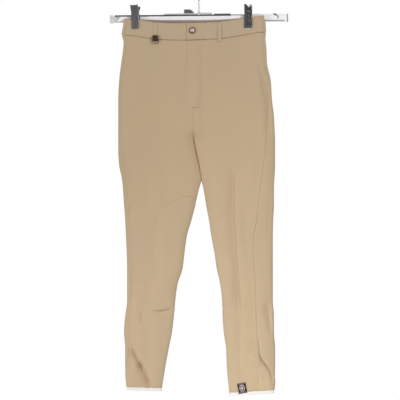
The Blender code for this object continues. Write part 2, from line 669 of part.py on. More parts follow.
def build_ring(collection):
    """D ring: a straight bar in the tab's fold and a round bow below it."""
    half, drop, shoulder = RING["half_width"], RING["drop"], RING["shoulder"]
    bow = []
    for degrees in range(15, 180, 15):
        angle = math.radians(degrees)
        across = math.copysign(abs(math.cos(angle)) ** 0.7, math.cos(angle))
        bow.append((half * across, -shoulder - (drop - shoulder) * math.sin(angle) ** 0.8))
    path = [(-half, 0), (0, 0), (half, 0), (half, -shoulder)] + bow + [(-half, -shoulder)]
    curve = bpy.data.curves.new("d_ring", "CURVE")
    curve.dimensions = "3D"
    curve.bevel_depth = RING["wire"] * MM
    curve.bevel_resolution = 2
    spline = curve.splines.new("POLY")
    spline.points.add(len(path) - 1)
    for point, (x, z) in zip(spline.points, path):
        point.co = (x * MM, 0, z * MM, 1)
    spline.use_cyclic_u = True
    obj = add_object("d_ring", curve, "antique_metal", collection)
    obj.location = tab_place()


# ---- hanger ----
def block(name, size, place, finish, collection, edge=1.0):
    """A block with eased edges; size and place in millimetres."""
    mesh = bpy.data.meshes.new(name)
    shape = bmesh.new()
    bmesh.ops.create_cube(shape, size=1)
    bmesh.ops.scale(shape, vec=Vector(size) * MM, verts=shape.verts)
    shape.to_mesh(mesh)
    shape.free()
    obj = add_object(name, mesh, finish, collection)
    obj.location = Vector(place) * MM
    bevel = obj.modifiers.new("edge", "BEVEL")
    bevel.width = edge * MM
    bevel.segments = 2
    return obj


def build_bar(collection):
    """Bar, end caps and hub, all tilted together about the hook's axis."""
    tilt = Matrix.Rotation(math.radians(-BAR["tilt"]), 4, "Y")
    middle = Vector((0, 0, -BAR["middle"]))
    end = BAR["length"] / 2 + SEAM + CAP["length"] / 2
    top = BAR["height"] / 2 + SEAM + HUB["height"] / 2
    pieces = (
        ("hanger_bar", (BAR["length"], BAR["depth"], BAR["height"]), (0, 0, 0), "silver_bar", 2.5),
        ("bar_cap_right", (CAP["length"], CAP["depth"], CAP["height"]), (-end, 0, 0), "silver_bar", 2.0),
        ("bar_cap_left", (CAP["length"], CAP["depth"], CAP["height"]), (end, 0, 0), "silver_bar", 2.0),
        ("hanger_hub", (HUB["length"], HUB["depth"], HUB["height"]), (0, 0, top), "grey_plastic", 2.0),
    )
    for name, size, place, finish, edge in pieces:
        obj = block(name, size, middle + tilt @ Vector(place), finish, collection, edge)
        obj.rotation_euler = tilt.to_euler()


def build_hook(collection):
    """Wire hook: a straight stem from the hub, and a round crown over the rail."""
    radius = HOOK["inner_radius"] + HOOK["wire"]
    centre = -HOOK["inner_radius"]
    foot = -BAR["middle"] + BAR["height"] / 2 + SEAM + HUB["height"] + SEAM
    path = [(0, foot)] + [(x, -down) for x, down in STEM]
    for degrees in np.arange(HOOK["first"], HOOK["last"] + 1, 12.5):
        angle = math.radians(degrees)
        path.append((radius * math.cos(angle), centre + radius * math.sin(angle)))
    curve = bpy.data.curves.new("hanger_hook", "CURVE")
    curve.dimensions = "3D"
    curve.bevel_depth = HOOK["wire"] * MM
    curve.bevel_resolution = 2
    curve.use_fill_caps = True
    spline = curve.splines.new("POLY")
    spline.points.add(len(path) - 1)
    for point, (x, z) in zip(spline.points, path):
        point.co = (x * MM, 0, z * MM, 1)
    add_object("hanger_hook", curve, "steel_wire", collection)


def build_jaw(name, profile, carrier, collection):
    """One leaf of a clip, bent along its profile."""
    y, down, half = (column(profile, JAW_COLUMNS, key) for key in JAW_COLUMNS)
    points = [(u * h, CLOTH_PLANE + a, -d) for a, d, h in zip(y, down, half) for u in (-1, -0.8, 0.8, 1)]
    obj = add_object(name, mesh_from(name, points, cell_faces(len(profile), 4)), "grey_plastic", collection)
    thickened(obj, JAW_WALL, 0)
    obj.parent = carrier


def build_clip(side, rise, lean, collection):
    """Spring clip: two leaves, the barrel that rides on the bar, and two soft pads."""
    carrier = bpy.data.objects.new("clip_" + side, None)
    collection.objects.link(carrier)
    turn = Matrix.Rotation(math.radians(-lean), 4, "Y")
    pivot = Vector((0, 0, -BAR["middle"]))
    place = Matrix.Translation(Vector((CLIP_X[side], 0, rise)) * MM)
    carrier.matrix_world = (place @ Matrix.Translation(pivot * MM) @ turn
                            @ Matrix.Translation(-pivot * MM))
    build_jaw("clip_front_" + side, FRONT_JAW, carrier, collection)
    build_jaw("clip_back_" + side, BACK_JAW, carrier, collection)

    barrel = bpy.data.meshes.new("clip_barrel_" + side)
    shape = bmesh.new()
    bmesh.ops.create_cone(shape, cap_ends=True, segments=16, radius1=BARREL["radius"] * MM,
                          radius2=BARREL["radius"] * MM, depth=BARREL["length"] * MM)
    shape.to_mesh(barrel)
    shape.free()
    obj = add_object("clip_barrel_" + side, barrel, "steel_wire", collection)
    drop = BAR["middle"] - BAR["height"] / 2 - SEAM - BARREL["radius"] - 0.3
    obj.rotation_euler = (0, math.radians(90), 0)
    obj.location = Vector((0, 0, -drop)) * MM
    obj.parent = carrier

    middle = (PAD["top"] + PAD["bottom"]) / 2
    size = (PAD["width"], PAD["wall"], PAD["bottom"] - PAD["top"])
    held = PINCH + BAND_PROUD + LIFT + PAD["wall"] / 2
    for face, y in (("front", -held), ("back", held)):
        pad = block(f"clip_pad_{face}_{side}", size, (0, CLOTH_PLANE + y, -middle), "pad_rubber",
                    collection, 0.3)
        pad.parent = carrier


# ---- the whole ----
def main():
    for obj in list(bpy.data.objects):
        bpy.data.objects.remove(obj)
    collection = bpy.data.collections.new("riding_breeches_on_hanger")
    bpy.context.scene.collection.children.link(collection)

    downs, rings = build_body(collection)
    build_hem_tape(collection)
    build_waistband(collection)
    build_fly(collection)
    for row in LOOPS:
        build_belt_loop(*row, collection)
    for side in ("right", "left"):
        build_knee_patch(side, downs, rings, collection)
        build_cuff_flap(side, downs, rings, collection)
    build_label(collection)
    build_button(collection)
    build_tab(collection)
    build_ring(collection)
    build_bar(collection)
    build_hook(collection)
    for row in CLIPS:
        build_clip(*row, collection)


main()
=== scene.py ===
import math

import bmesh
import bpy
import numpy as np
from mathutils import Matrix, Vector


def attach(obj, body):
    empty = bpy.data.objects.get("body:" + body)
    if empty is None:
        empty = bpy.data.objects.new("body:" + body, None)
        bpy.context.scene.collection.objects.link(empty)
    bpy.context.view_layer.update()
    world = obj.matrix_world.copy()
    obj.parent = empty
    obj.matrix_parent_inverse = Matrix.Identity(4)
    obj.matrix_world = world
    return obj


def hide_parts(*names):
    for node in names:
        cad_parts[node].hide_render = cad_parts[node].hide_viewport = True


# Riding breeches hung by the waistband from a clip hanger.
# Sizes are millimetres: x to the wearer's left, y to the back, down below the hook's inner crown.

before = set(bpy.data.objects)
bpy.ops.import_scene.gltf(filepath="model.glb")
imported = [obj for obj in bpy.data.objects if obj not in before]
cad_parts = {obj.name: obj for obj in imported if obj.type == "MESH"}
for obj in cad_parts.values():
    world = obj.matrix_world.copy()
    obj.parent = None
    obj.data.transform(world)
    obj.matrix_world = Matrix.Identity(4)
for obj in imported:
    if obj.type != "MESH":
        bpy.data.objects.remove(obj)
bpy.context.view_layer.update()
mm = 0.001
garmentBody = "breeches_on_hanger"
ringBody = "d_ring"

cut = {
    "clothWall": 1.4, "bandWall": 2.2, "seamGap": 0.3,
    "waistSeam": 164.0, "bandHeight": 44.0, "bandProud": 0.5,       # the band stands out over the cloth
    "centre": -16.0, "crotch": 425.0, "closing": 32.0,              # the halves become legs over closing
    "clothHem": 1064.0, "legGap": 0.2, "clothPlane": -12.0,         # the plane is the y of the side folds
    "pinch": 3.4, "pinchPower": 8, "roundness": 2.6,                # sections under the clips and elsewhere
    "clipX": {"right": -166.0, "left": 128.0}, "padWidth": 15.0,
    "clipMargin": 4.0, "clipFade": (150, 300), "heldRelief": 0.35,  # creases are lower where clips hold
    "waistFade": (170.0, 330.0), "hemFade": 964.0,                  # how far their curves reach
    "foldMargin": 14.0,                                             # creases fade out near the side folds
}
outward = {"right": -1, "left": 1}

# outer and inner are the x of a half's two side folds, seam that of its side seam;
# front and back are how far the cloth stands from the plane of the side folds
sectionNames = ("down", "rightOuter", "rightSeam", "rightInner",
                "leftInner", "leftSeam", "leftOuter", "front", "back")
sectionRows = (
    (118, -193.5, -187, -16, -16, 160.5, 166.8, 15, 3.6),
    (142, -197.5, -190.5, -16, -16, 166, 173, 16, 4.4),
    (164, -200.5, -193.5, -16, -16, 167, 174, 17, 7),
    (181, -196, -189, -16, -16, 166, 173, 17.5, 10),
    (200, -197.5, -190.5, -16, -16, 168, 175, 18, 13),
    (236, -203, -196, -16, -16, 170, 177, 20, 19),
    (276, -208, -201, -16, -16, 177, 187, 21, 24),
    (318, -210, -203, -16, -16, 178, 190, 21, 28),
    (360, -210, -203, -16, -16, 177, 195, 21, 30),
    (400, -210, -202, -15, -15, 176, 197, 21, 29),
    (421, -210, -201, -14, -14, 174, 198, 20, 28),
    (448, -210, -200, -9, -9, 173, 198, 20, 26),
    (484, -208, -197, -1, -1, 168, 198, 19, 25),
    (526, -200, -190, 6, 6, 162, 196, 18, 24),
    (547, -198, -187, 1, 11, 159, 195, 18, 23),
    (588, -195, -184, -9, 18, 155, 195, 18, 22),
    (630, -192, -181, -20, 26, 150, 193, 17, 21),
    (672, -190, -179, -32, 32, 143, 192, 17, 20),
    (714, -188, -177, -38, 40, 142, 192, 16, 19),
    (755, -187, -176, -43, 46, 144, 192, 16, 18),
    (796, -187, -176, -56, 55, 146, 192, 15, 18),
    (838, -187, -177, -62, 60, 147, 192, 15, 18),
    (880, -192, -181, -65, 61, 149, 195, 14, 18),
    (921, -195, -184, -70, 64, 151, 195, 14, 18),
    (962, -192, -182, -78, 70, 154, 198, 13, 17),
    (1004, -192, -182, -86, 72, 157, 198, 12, 16),
    (1046, -190, -180, -93, 76, 159, 197, 11, 14),
    (1075, -187, -177, -98, 80, 160, 194, 10, 12),
)
sections = dict(zip(sectionNames, np.array(sectionRows, float).T))
waistRows = (
    (-200, 149, 149), (-166, 152, 151), (-127, 158, 153), (-100, 161, 154),
    (-60, 163, 154), (-30, 163, 154), (0, 162, 154), (44, 160, 153),
    (94, 153, 150), (133, 146, 145), (151, 143, 143), (180, 141, 141),
)
waist = dict(zip(("x", "front", "back"), np.array(waistRows, float).T))
hemEnds = {"right": (1063.0, 1066.0), "left": (1071.0, 1078.0)}     # outer, inner

# each crease: its height, out when positive and in when negative; its widths to the wearer's right and
# left of a line that runs down; the tapered share at each end; how sharp its edge is; its line of (x, down)
creases = {
    "front": (
        # pressed crease of the left leg, steep on its outer side
        (-8, (13, 4.4), 0.14, 1.3, ((80, 480), (87, 520), (88, 552), (86, 604), (88, 630), (91, 656),
            (93.5, 708), (95, 734), (98.5, 760), (101, 812), (102, 838), (104, 868))),
        (-4, (12, 6), 0.35, 1.5, ((100, 780), (103, 850), (107, 916), (107, 960), (106, 1010))),
        (2, (5, 34), 0.25, 2, ((90, 500), (96, 560), (95, 620), (100, 700), (107, 790), (111, 860),
            (115, 930))),
        (2.4, (5, 24), 0.35, 2, ((116, 925), (118, 965), (116, 1012))),
        # hip, pulled from the left clip
        (-4, (7, 9), 0.3, 2, ((150, 226), (163, 262), (173, 300), (178, 345), (177, 430))),
        (0.9, (9, 5), 0.35, 2, ((138, 226), (154, 266), (164, 305), (168, 350))),
        (-1.6, (8, 5), 0.4, 2, ((184, 545), (186, 610), (184, 680), (184, 740))),
        (0.5, (9, 14), 0.4, 2, ((136, 560), (133, 640), (130, 720), (133, 800))),
        (-4, (10, 14), 0.3, 2, ((176, 838), (180, 868), (187, 900), (193, 935))),
        # lower edge of the left knee patch shows through as a slight bar
        (-0.6, (5, 4), 0.3, 2, ((62, 846), (80, 843), (99, 843))),
        (3.6, (14, 11), 0.4, 2, ((128, 975), (146, 992), (160, 1010))),
        (-2, (9, 9), 0.3, 2, ((150, 1034), (163, 1037), (178, 1030))),
        (-1.5, (2.4, 2.8), 0.3, 2, ((153, 936), (154, 955), (158, 984))),
        (-5.8, (2.5, 3.2), 0.24, 2, ((155, 968), (158, 983), (166, 996), (176, 1009), (185, 1021),
            (190, 1036), (194, 1052))),
        (0.5, (12, 10), 0.4, 2, ((84, 980), (92, 1020), (96, 1060))),
        (-2, (11, 13), 0.3, 2, ((52, 620), (66, 636))),
        # right leg: outer side, knee and shin
        (-0.8, (10, 12), 0.4, 2, ((-176, 440), (-171, 500), (-173, 545))),
        (-3, (4.5, 6), 0.35, 2, ((-176, 582), (-177, 602), (-174, 626))),
        (-4.4, (3.6, 12), 0.25, 2, ((-177, 736), (-178, 770), (-177, 812), (-175, 846))),
        (0.5, (12, 14), 0.4, 2, ((-140, 700), (-146, 780), (-142, 850))),
        (-4.6, (3.6, 9), 0.42, 2, ((-46, 860), (-66, 861), (-82, 863), (-98, 867), (-126, 873))),
        (1.1, (5, 6), 0.4, 2, ((-64, 851), (-84, 852), (-112, 862))),
        (-1.5, (3, 3), 0.3, 2, ((-61, 838), (-71, 840))),
        (-1.7, (3, 3), 0.35, 2, ((-150, 862), (-149, 880), (-146, 902))),
        # tuck above the right hem
        (-10, (6.5, 4), 0.26, 1.4, ((-174, 958), (-172, 968), (-167, 981), (-160, 994), (-152, 1007),
            (-146, 1020))),
        (-14.5, (12, 5), 0.3, 1.35, ((-158, 996), (-152, 1007), (-146, 1020), (-139, 1033), (-134, 1046),
            (-130, 1059), (-127, 1072))),
        (1, (6, 16), 0.4, 2, ((-128, 1012), (-122, 1035), (-119, 1062))),
        (-1.4, (5, 5), 0.3, 2, ((-36, 676), (-46, 690))),
        # below the fly
        (1, (7, 8), 0.3, 2, ((-5, 338), (-4, 375), (-4, 412))),
        (-1.7, (6, 3), 0.3, 2, ((10, 346), (11, 390), (13, 440))),
        (0.6, (9, 12), 0.45, 2, ((-70, 440), (-40, 424), (-20, 408))),
        (0.5, (12, 9), 0.45, 2, ((44, 446), (24, 428), (8, 410))),
        # drag lines under the clips and from the loops
        (0.6, (10, 15), 0.5, 2, ((-168, 172), (-160, 230), (-158, 300))),
        (0.4, (18, 14), 0.5, 2, ((-92, 176), (-86, 240), (-90, 310))),
        (0.5, (14, 10), 0.5, 2, ((118, 172), (121, 225), (130, 290))),
        (0.4, (16, 20), 0.5, 2, ((64, 180), (60, 250), (66, 320))),
        (0.5, (20, 20), 0.5, 2, ((-120, 430), (-112, 520), (-114, 600))),
    ),
    "back": (
        (-3, (15, 12), 0.35, 2, ((-158, 446), (-118, 424), (-80, 412), (-40, 405))),
        (1.2, (9, 12), 0.4, 2, ((-150, 466), (-112, 448), (-66, 438))),
        (-3, (13, 15), 0.35, 2, ((30, 404), (70, 412), (112, 425), (150, 446))),
        (1, (12, 9), 0.4, 2, ((44, 440), (84, 446), (128, 464))),
        (-3.2, (9, 13), 0.3, 2, ((-168, 800), (-130, 806), (-80, 813))),
        (1.4, (10, 7), 0.4, 2, ((-160, 782), (-118, 790), (-84, 792))),
        (-3, (12, 9), 0.3, 2, ((75, 806), (120, 803), (172, 794))),
        (1.2, (7, 10), 0.4, 2, ((82, 826), (124, 822), (160, 824))),
        (-2, (7, 8), 0.4, 2, ((-152, 846), (-120, 842), (-84, 838))),
        (-1.6, (6, 8), 0.4, 2, ((90, 858), (128, 852), (156, 858))),
        (-3, (9, 8), 0.3, 2, ((172, 982), (152, 1010), (126, 1052))),
        (-1.8, (8, 6), 0.4, 2, ((-170, 1000), (-140, 1020), (-120, 1060))),
        (1.5, (26, 8), 0.4, 2, ((-104, 470), (-112, 560), (-118, 660))),
        (1.3, (8, 24), 0.4, 2, ((104, 480), (112, 570), (116, 660))),
        (1.2, (14, 7), 0.4, 2, ((-122, 870), (-128, 940), (-138, 1020))),
        (1.2, (7, 14), 0.4, 2, ((122, 876), (128, 930), (136, 990))),
        (0.8, (18, 14), 0.5, 2, ((-90, 180), (-98, 250), (-88, 330))),
        (0.8, (14, 18), 0.5, 2, ((60, 180), (66, 250), (58, 330))),
        (-1.1, (9, 9), 0.45, 2, ((-60, 380), (-34, 340), (-20, 300))),
        (-1.1, (9, 9), 0.45, 2, ((28, 384), (4, 342), (-12, 304))),
    ),
}
clothWaves = {"seed": {"front": 11, "back": 23}, "count": 12, "size": 0.13,
              "across": (34.0, 120.0), "length": (130.0, 520.0)}


def smoothStep(low, high, value):
    t = np.clip((np.asarray(value, float) - low) / (high - low), 0, 1)
    return t * t * (3 - 2 * t)


def hill(low, lowEnd, high, highEnd, value):    # rises from low to lowEnd and falls from high to highEnd
    return smoothStep(low, lowEnd, value) * (1 - smoothStep(high, highEnd, value))


def curveThrough(x, y, at):     # a smooth curve through points, with no overshoot
    slope = np.diff(y) / np.diff(x)
    inner = np.where(slope[:-1] * slope[1:] > 0,
                     2 * slope[:-1] * slope[1:] / (slope[:-1] + slope[1:] + 1e-12), 0)
    tangent = np.concatenate([[slope[0]], inner, [slope[-1]]])
    at = np.clip(at, x[0], x[-1])
    i = np.clip(np.searchsorted(x, at) - 1, 0, len(x) - 2)
    width = x[i + 1] - x[i]
    t = (at - x[i]) / width
    return ((2 * t**3 - 3 * t**2 + 1) * y[i] + (t**3 - 2 * t**2 + t) * width * tangent[i]
            + (3 * t**2 - 2 * t**3) * y[i + 1] + (t**3 - t**2) * width * tangent[i + 1])


def lineLength(points):         # how far along a line each of its points is
    return np.concatenate([[0], np.cumsum(np.linalg.norm(np.diff(points, axis=0), axis=1))])


def straightLine(points, lengths, at):
    return np.stack([np.interp(at, lengths, column) for column in np.asarray(points, float).T], axis=1)


def curvedLine(points, lengths, at):
    return np.stack([curveThrough(lengths, column, at) for column in np.asarray(points, float).T], axis=1)


def sectionAt(name, down):
    return curveThrough(sections["down"], sections[name], down)


def innerEdge(side, down):      # centre line above the crotch, the leg's inner fold below it
    apart = cut["legGap"] / 2 * smoothStep(cut["crotch"] - 1, cut["crotch"], down)
    return sectionAt(side + "Inner", down) + outward[side] * apart


def clipHold(x, down):          # 1 where the clips hold front and back together
    right, left = cut["clipX"]["right"], cut["clipX"]["left"]
    half = (left - right) / 2 - cut["padWidth"] / 2 - cut["clipMargin"]
    free = np.clip(1 - ((x - (right + left) / 2) / half) ** 2, 0, 1) ** 1.5
    return (1 - free) * (1 - smoothStep(*cut["clipFade"], down))


def creaseShape(crease, x, down):
    height, widths, fade, sharp, points = crease
    knots = lineLength(points)
    line = curvedLine(points, knots, np.linspace(0, knots[-1], 3 * len(knots) - 2))
    best, side, share = np.full(x.shape, 1e9), np.zeros(x.shape), np.zeros(x.shape)
    begun = 0.0
    for a, b in zip(line[:-1], line[1:]):
        length = math.hypot(*(b - a))
        run = (b - a) / length
        offX, offDown = x - a[0], down - a[1]
        t = np.clip(offX * run[0] + offDown * run[1], 0, length)
        away = np.hypot(offX - t * run[0], offDown - t * run[1])
        closer = away < best
        best = np.where(closer, away, best)
        side = np.where(closer, offX * run[1] - offDown * run[0], side)
        share = np.where(closer, begun + t, share)
        begun += length
    share = share / begun
    taper = smoothStep(-0.02, fade, share) * smoothStep(-0.02, fade, 1 - share)
    return height * np.exp(-(best / np.where(side < 0, *widths)) ** sharp) * taper


def clothRelief(face, x, down):     # creases and low waves
    moved = np.zeros(x.shape)
    for crease in creases[face]:
        (xs, downs), reach = np.array(crease[-1], float).T, 3 * max(crease[1])
        near = ((x > xs.min() - reach) & (x < xs.max() + reach)
                & (down > downs.min() - reach) & (down < downs.max() + reach))
        if near.any():
            moved[near] += creaseShape(crease, x[near], down[near])
    draw = np.random.default_rng(clothWaves["seed"][face])
    for _ in range(clothWaves["count"]):
        across = draw.uniform(*clothWaves["across"]) * draw.choice([-1, 1])
        length = draw.uniform(*clothWaves["length"])
        moved += clothWaves["size"] * np.sin(2 * np.pi * (x / across + down / length + draw.uniform()))
    return moved


def clothDepth(side, face, x, down, detail):
    outer, inner = sectionAt(side + "Outer", down), innerEdge(side, down)
    s = np.clip((x - inner) / (outer - inner), 0, 1)
    n = cut["roundness"]
    shut = smoothStep(cut["crotch"] - cut["closing"], cut["crotch"], down)
    whole = (1 - s**n) ** (1 / n)
    tube = (1 - np.abs(2 * s - 1) ** n) ** (1 / n)
    held = clipHold(x, down)
    full = sectionAt(face, down) * ((1 - shut) * whole + shut * tube)
    flat = cut["pinch"] * (1 - s ** cut["pinchPower"]) ** (1 / cut["pinchPower"])
    depth = full * (1 - held) + flat * held
    if detail:
        fromEdge = np.minimum(np.abs(x - outer), np.where(shut > 0.5, np.abs(x - inner), 1e3))
        calm = cut["heldRelief"] + (1 - cut["heldRelief"]) * (1 - held)
        depth = depth + clothRelief(face, x, down) * (smoothStep(0, cut["foldMargin"], fromEdge) * calm)
    return depth


def trueDown(side, face, x, down):      # a level line with the curves of the waist and hem added
    outer, inner = sectionAt(side + "Outer", cut["clothHem"]), innerEdge(side, cut["clothHem"])
    share = np.clip((x - outer) / (inner - outer), 0, 1)
    outerHem, innerHem = hemEnds[side]
    drop = outerHem + (innerHem - outerHem) * share - cut["clothHem"]
    rise = curveThrough(waist["x"], waist[face], x) - cut["waistSeam"]
    return (down + rise * (1 - smoothStep(*cut["waistFade"], down))
            + drop * np.clip((down - cut["hemFade"]) / (cut["clothHem"] - cut["hemFade"]), 0, 1))


def clothPoint(side, face, x, down, detail=True):       # the cloth's outside
    x, down = np.broadcast_arrays(np.asarray(x, float), np.asarray(down, float))
    y = clothDepth(side, face, x, down, detail) * (-1 if face == "front" else 1)
    return np.stack([x, cut["clothPlane"] + y, -trueDown(side, face, x, down)], axis=-1)


def facePoint(face, x, down):           # the same across both halves above the crotch
    x, down = np.broadcast_arrays(np.asarray(x, float), np.asarray(down, float))
    isRight = (x < innerEdge("right", down))[..., None]
    return np.where(isRight, clothPoint("right", face, x, down), clothPoint("left", face, x, down))


# distances round a half run from its inner edge over the front and back again
loopLevels = np.arange(112.0, 1078.0, 6.0)
loopShares = (1 - np.cos(np.pi * np.linspace(0, 1, 321))) / 2


def measureFace(side, face):
    level = loopLevels[:, None]
    inner, outer = innerEdge(side, level), sectionAt(side + "Outer", level)
    line = clothPoint(side, face, inner + loopShares * (outer - inner), level, detail=False)
    lengths = np.stack([lineLength(row) for row in line])
    shares = np.stack([np.interp(loopShares * row[-1], row, loopShares) for row in lengths])
    return {"whole": lengths[:, -1], "lengths": lengths, "shares": shares}


loops = {side: {face: measureFace(side, face) for face in ("front", "back")} for side in outward}


def faceWidth(side, face, down):
    return np.interp(down, loopLevels, loops[side][face]["whole"])


def roundLength(side, down):
    return faceWidth(side, "front", down) + faceWidth(side, "back", down)


def seamReach(side, down):      # distance from the inner edge to the side seam, over the front
    inner = innerEdge(side, loopLevels)
    seam = (sectionAt(side + "Seam", loopLevels) - inner) / (sectionAt(side + "Outer", loopLevels) - inner)
    at = [np.interp(s, loopShares, row) for s, row in zip(seam, loops[side]["front"]["lengths"])]
    return np.interp(down, loopLevels, at)


def shareAt(side, face, down, reach):
    table = loops[side][face]["shares"]
    whole = np.clip(reach / faceWidth(side, face, down), 0, 1)
    across = np.arccos(1 - 2 * whole) / np.pi * (len(loopShares) - 1)
    level = np.clip((down - loopLevels[0]) / (loopLevels[1] - loopLevels[0]), 0, len(loopLevels) - 1.001)
    i, j = level.astype(int), np.minimum(across.astype(int), len(loopShares) - 2)
    u, v = level - i, across - j
    return ((1 - u) * ((1 - v) * table[i, j] + v * table[i, j + 1])
            + u * ((1 - v) * table[i + 1, j] + v * table[i + 1, j + 1]))


def loopPoint(side, down, along):
    down, along = np.broadcast_arrays(np.asarray(down, float), np.asarray(along, float))
    front, back = faceWidth(side, "front", down), faceWidth(side, "back", down)
    along = np.where(along < 0, along + front + back, along)
    inner, outer = innerEdge(side, down), sectionAt(side + "Outer", down)
    points = []
    for face, reach, most in (("front", along, front), ("back", front + back - along, back)):
        share = shareAt(side, face, down, np.clip(reach, 0, most))
        points.append(clothPoint(side, face, inner + share * (outer - inner), down))
    return np.where((along <= front)[..., None], *points)


print("cloth surface measured")

lip = np.array([0, 0.3, 0.7, 1.2, 2.0, 3.2, 4.8, 7.0])      # close rows beside an edge, for its rounding


def edgeSpaced(first, last, step, ends=(True, True)):       # values that lie close together at edges
    first, last = np.broadcast_arrays(np.asarray(first, float), np.asarray(last, float))
    start, finish = (lip if isEdge else lip[:1] for isEdge in ends)
    whole = np.abs(last - first)
    count = max(2, int(round((whole.max() - start[-1] - finish[-1]) / step)) + 1)
    scale = np.minimum(1, whole / (start[-1] + finish[-1] + 2))[..., None]
    inner = np.linspace(0, 1, count)[1:-1]
    body = start[-1] * scale + (whole[..., None] - (start[-1] + finish[-1]) * scale) * inner
    values = np.concatenate([start * scale, body, whole[..., None] - finish[::-1] * scale], axis=-1)
    return first[..., None] + np.sign(last - first)[..., None] * values


def gridNormals(grid):          # out of the cloth
    normal = np.cross(np.gradient(grid, axis=0), np.gradient(grid, axis=1))
    normal /= np.maximum(np.linalg.norm(normal, axis=2, keepdims=True), 1e-9)
    return normal * np.sign(np.median((grid[..., 1] - cut["clothPlane"]) * normal[..., 1]) or 1)


def evenNormals(grid, sign):    # of a flat sheet that faces front (-1) or back (1)
    normal = np.zeros_like(grid)
    normal[..., 1] = sign
    return normal


def edgeDistances(grid):        # from the first and last column and the first and last row
    def walked(axis):
        steps = np.linalg.norm(np.diff(grid, axis=axis), axis=2)
        zero = np.zeros_like(np.take(steps, [0], axis=axis))
        done = np.concatenate([zero, np.cumsum(steps, axis=axis)], axis=axis)
        return done, np.take(done, [-1], axis=axis) - done
    return (*walked(1), *walked(0))


def rolled(distance, radius):   # how far an edge's rounding takes the surface in
    if radius <= 0:
        return np.zeros_like(distance)
    return radius - np.sqrt(np.maximum(radius**2 - (radius - np.minimum(distance, radius)) ** 2, 0))


def newMesh(name, points, faces, uv=None, flat=None):       # flat: the angle over which edges stay sharp
    data = bpy.data.meshes.new(name)
    data.from_pydata((np.asarray(points, float).reshape(-1, 3) * mm).tolist(), [],
                     faces.tolist() if isinstance(faces, np.ndarray) else faces)
    shape = bmesh.new()
    shape.from_mesh(data)
    bmesh.ops.recalc_face_normals(shape, faces=shape.faces)
    shape.to_mesh(data)
    shape.free()
    if uv is not None:
        layer = data.uv_layers.new(name="clothMap")
        corner = np.empty(len(data.loops), int)
        data.loops.foreach_get("vertex_index", corner)
        layer.data.foreach_set("uv", np.asarray(uv, float)[corner].ravel())
    data.shade_smooth()
    if flat:
        data.set_sharp_from_angle(angle=math.radians(flat))
    obj = bpy.data.objects.new(name, data)
    bpy.context.scene.collection.objects.link(obj)
    return obj


def finished(obj, finish, slot, *nodes, body=garmentBody):
    obj.data.materials.append(materials[finish])
    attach(obj, body)
    if nodes:
        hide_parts(*nodes)
    return obj


insideShift = (0.37, 0.21)      # of the cloth's inside on its map, in metres


def closedGrid(outside, inside):        # points and faces of a wall between two grids
    rows, columns = outside.shape[:2]
    count = rows * columns
    numbers = np.arange(count).reshape(rows, columns)
    corner = numbers[:-1, :-1].reshape(-1, 1)
    quads = corner + [0, 1, columns + 1, columns]
    border = np.concatenate([numbers[0], numbers[1:, -1], numbers[-1, -2::-1], numbers[-2:0:-1, 0]])
    after = np.roll(border, -1)
    faces = np.concatenate([quads, quads[:, ::-1] + count,
                            np.stack([after, border, border + count, after + count], axis=1)])
    return np.concatenate([outside.reshape(-1, 3), inside.reshape(-1, 3)]), faces


# a closed cloth wall from its outside; each roll is one radius or those of the first and last column and
# the first and last row; tips are the x directions in which the cloth turns back in a narrow fold
def clothShell(name, outside, normal, wall, rollOut, rollIn=None, tips=()):
    rollIn = rollOut if rollIn is None else rollIn
    distances = edgeDistances(outside)
    dropIn, dropOut = (np.max([rolled(*pair) for pair in zip(distances, np.broadcast_to(sizes, 4))], axis=0)
                       for sizes in (rollIn, rollOut))
    inside = outside - normal * (wall - dropIn)[..., None]
    outer = outside - normal * dropOut[..., None]
    for tip in tips:
        limit = (tip * outer[..., 0]).max(axis=1, keepdims=True) - wall
        inside[..., 0] = tip * np.minimum(tip * inside[..., 0], limit)
    if tips:
        face = np.sign(np.round(outer[..., 1] - cut["clothPlane"], 2))
        apart = np.maximum(face * (inside[..., 1] - cut["clothPlane"]), cut["seamGap"] / 2)
        inside[..., 1] = np.where(face == 0, inside[..., 1], cut["clothPlane"] + face * apart)
    across = distances[0] - distances[0][:, -1:] / 2
    uv = np.stack([across, -distances[2]], axis=-1).reshape(-1, 2) * mm
    return newMesh(name, *closedGrid(outer, inside), np.concatenate([uv, uv + insideShift]))


def declareCloth(obj, grid, *restsOn, row=None, edging=()):     # measures its flat cut on its grid and keeps nothing of it
    left, _, top, _ = edgeDistances(grid)
    width, length = left[:, -1].max() if row is None else left[row, -1], top[-1].max()
    a, b = grid[1:, 1:] - grid[:-1, :-1], grid[1:, :-1] - grid[:-1, 1:]
    area = np.linalg.norm(np.cross(a, b), axis=2).sum() / 2
    area = min(area, 0.99 * width * length) * mm * mm


# a piece sewn over the cloth at base, which stands out by rise; its edges lie on restsOn
def sewnCloth(name, base, rise, wall, rollOut, finish, slot, nodes, restsOn, rollIn=None, row=None, tips=()):
    normal = gridNormals(base)
    outside = base + normal * np.asarray(rise, float)[..., None]
    obj = clothShell(name, outside, normal, wall, rollOut, rollIn, tips)
    finished(obj, finish, slot, *nodes)
    declareCloth(obj, base, *restsOn, row=row)
    return outside, normal


def threadRow(outside, normal, distance, inset, spare):     # the grid line at inset from an edge
    columns = np.arange(outside.shape[1])[spare:-spare]
    rows = np.abs(distance - inset).argmin(axis=0)[columns]
    return outside[rows, columns], normal[rows, columns]


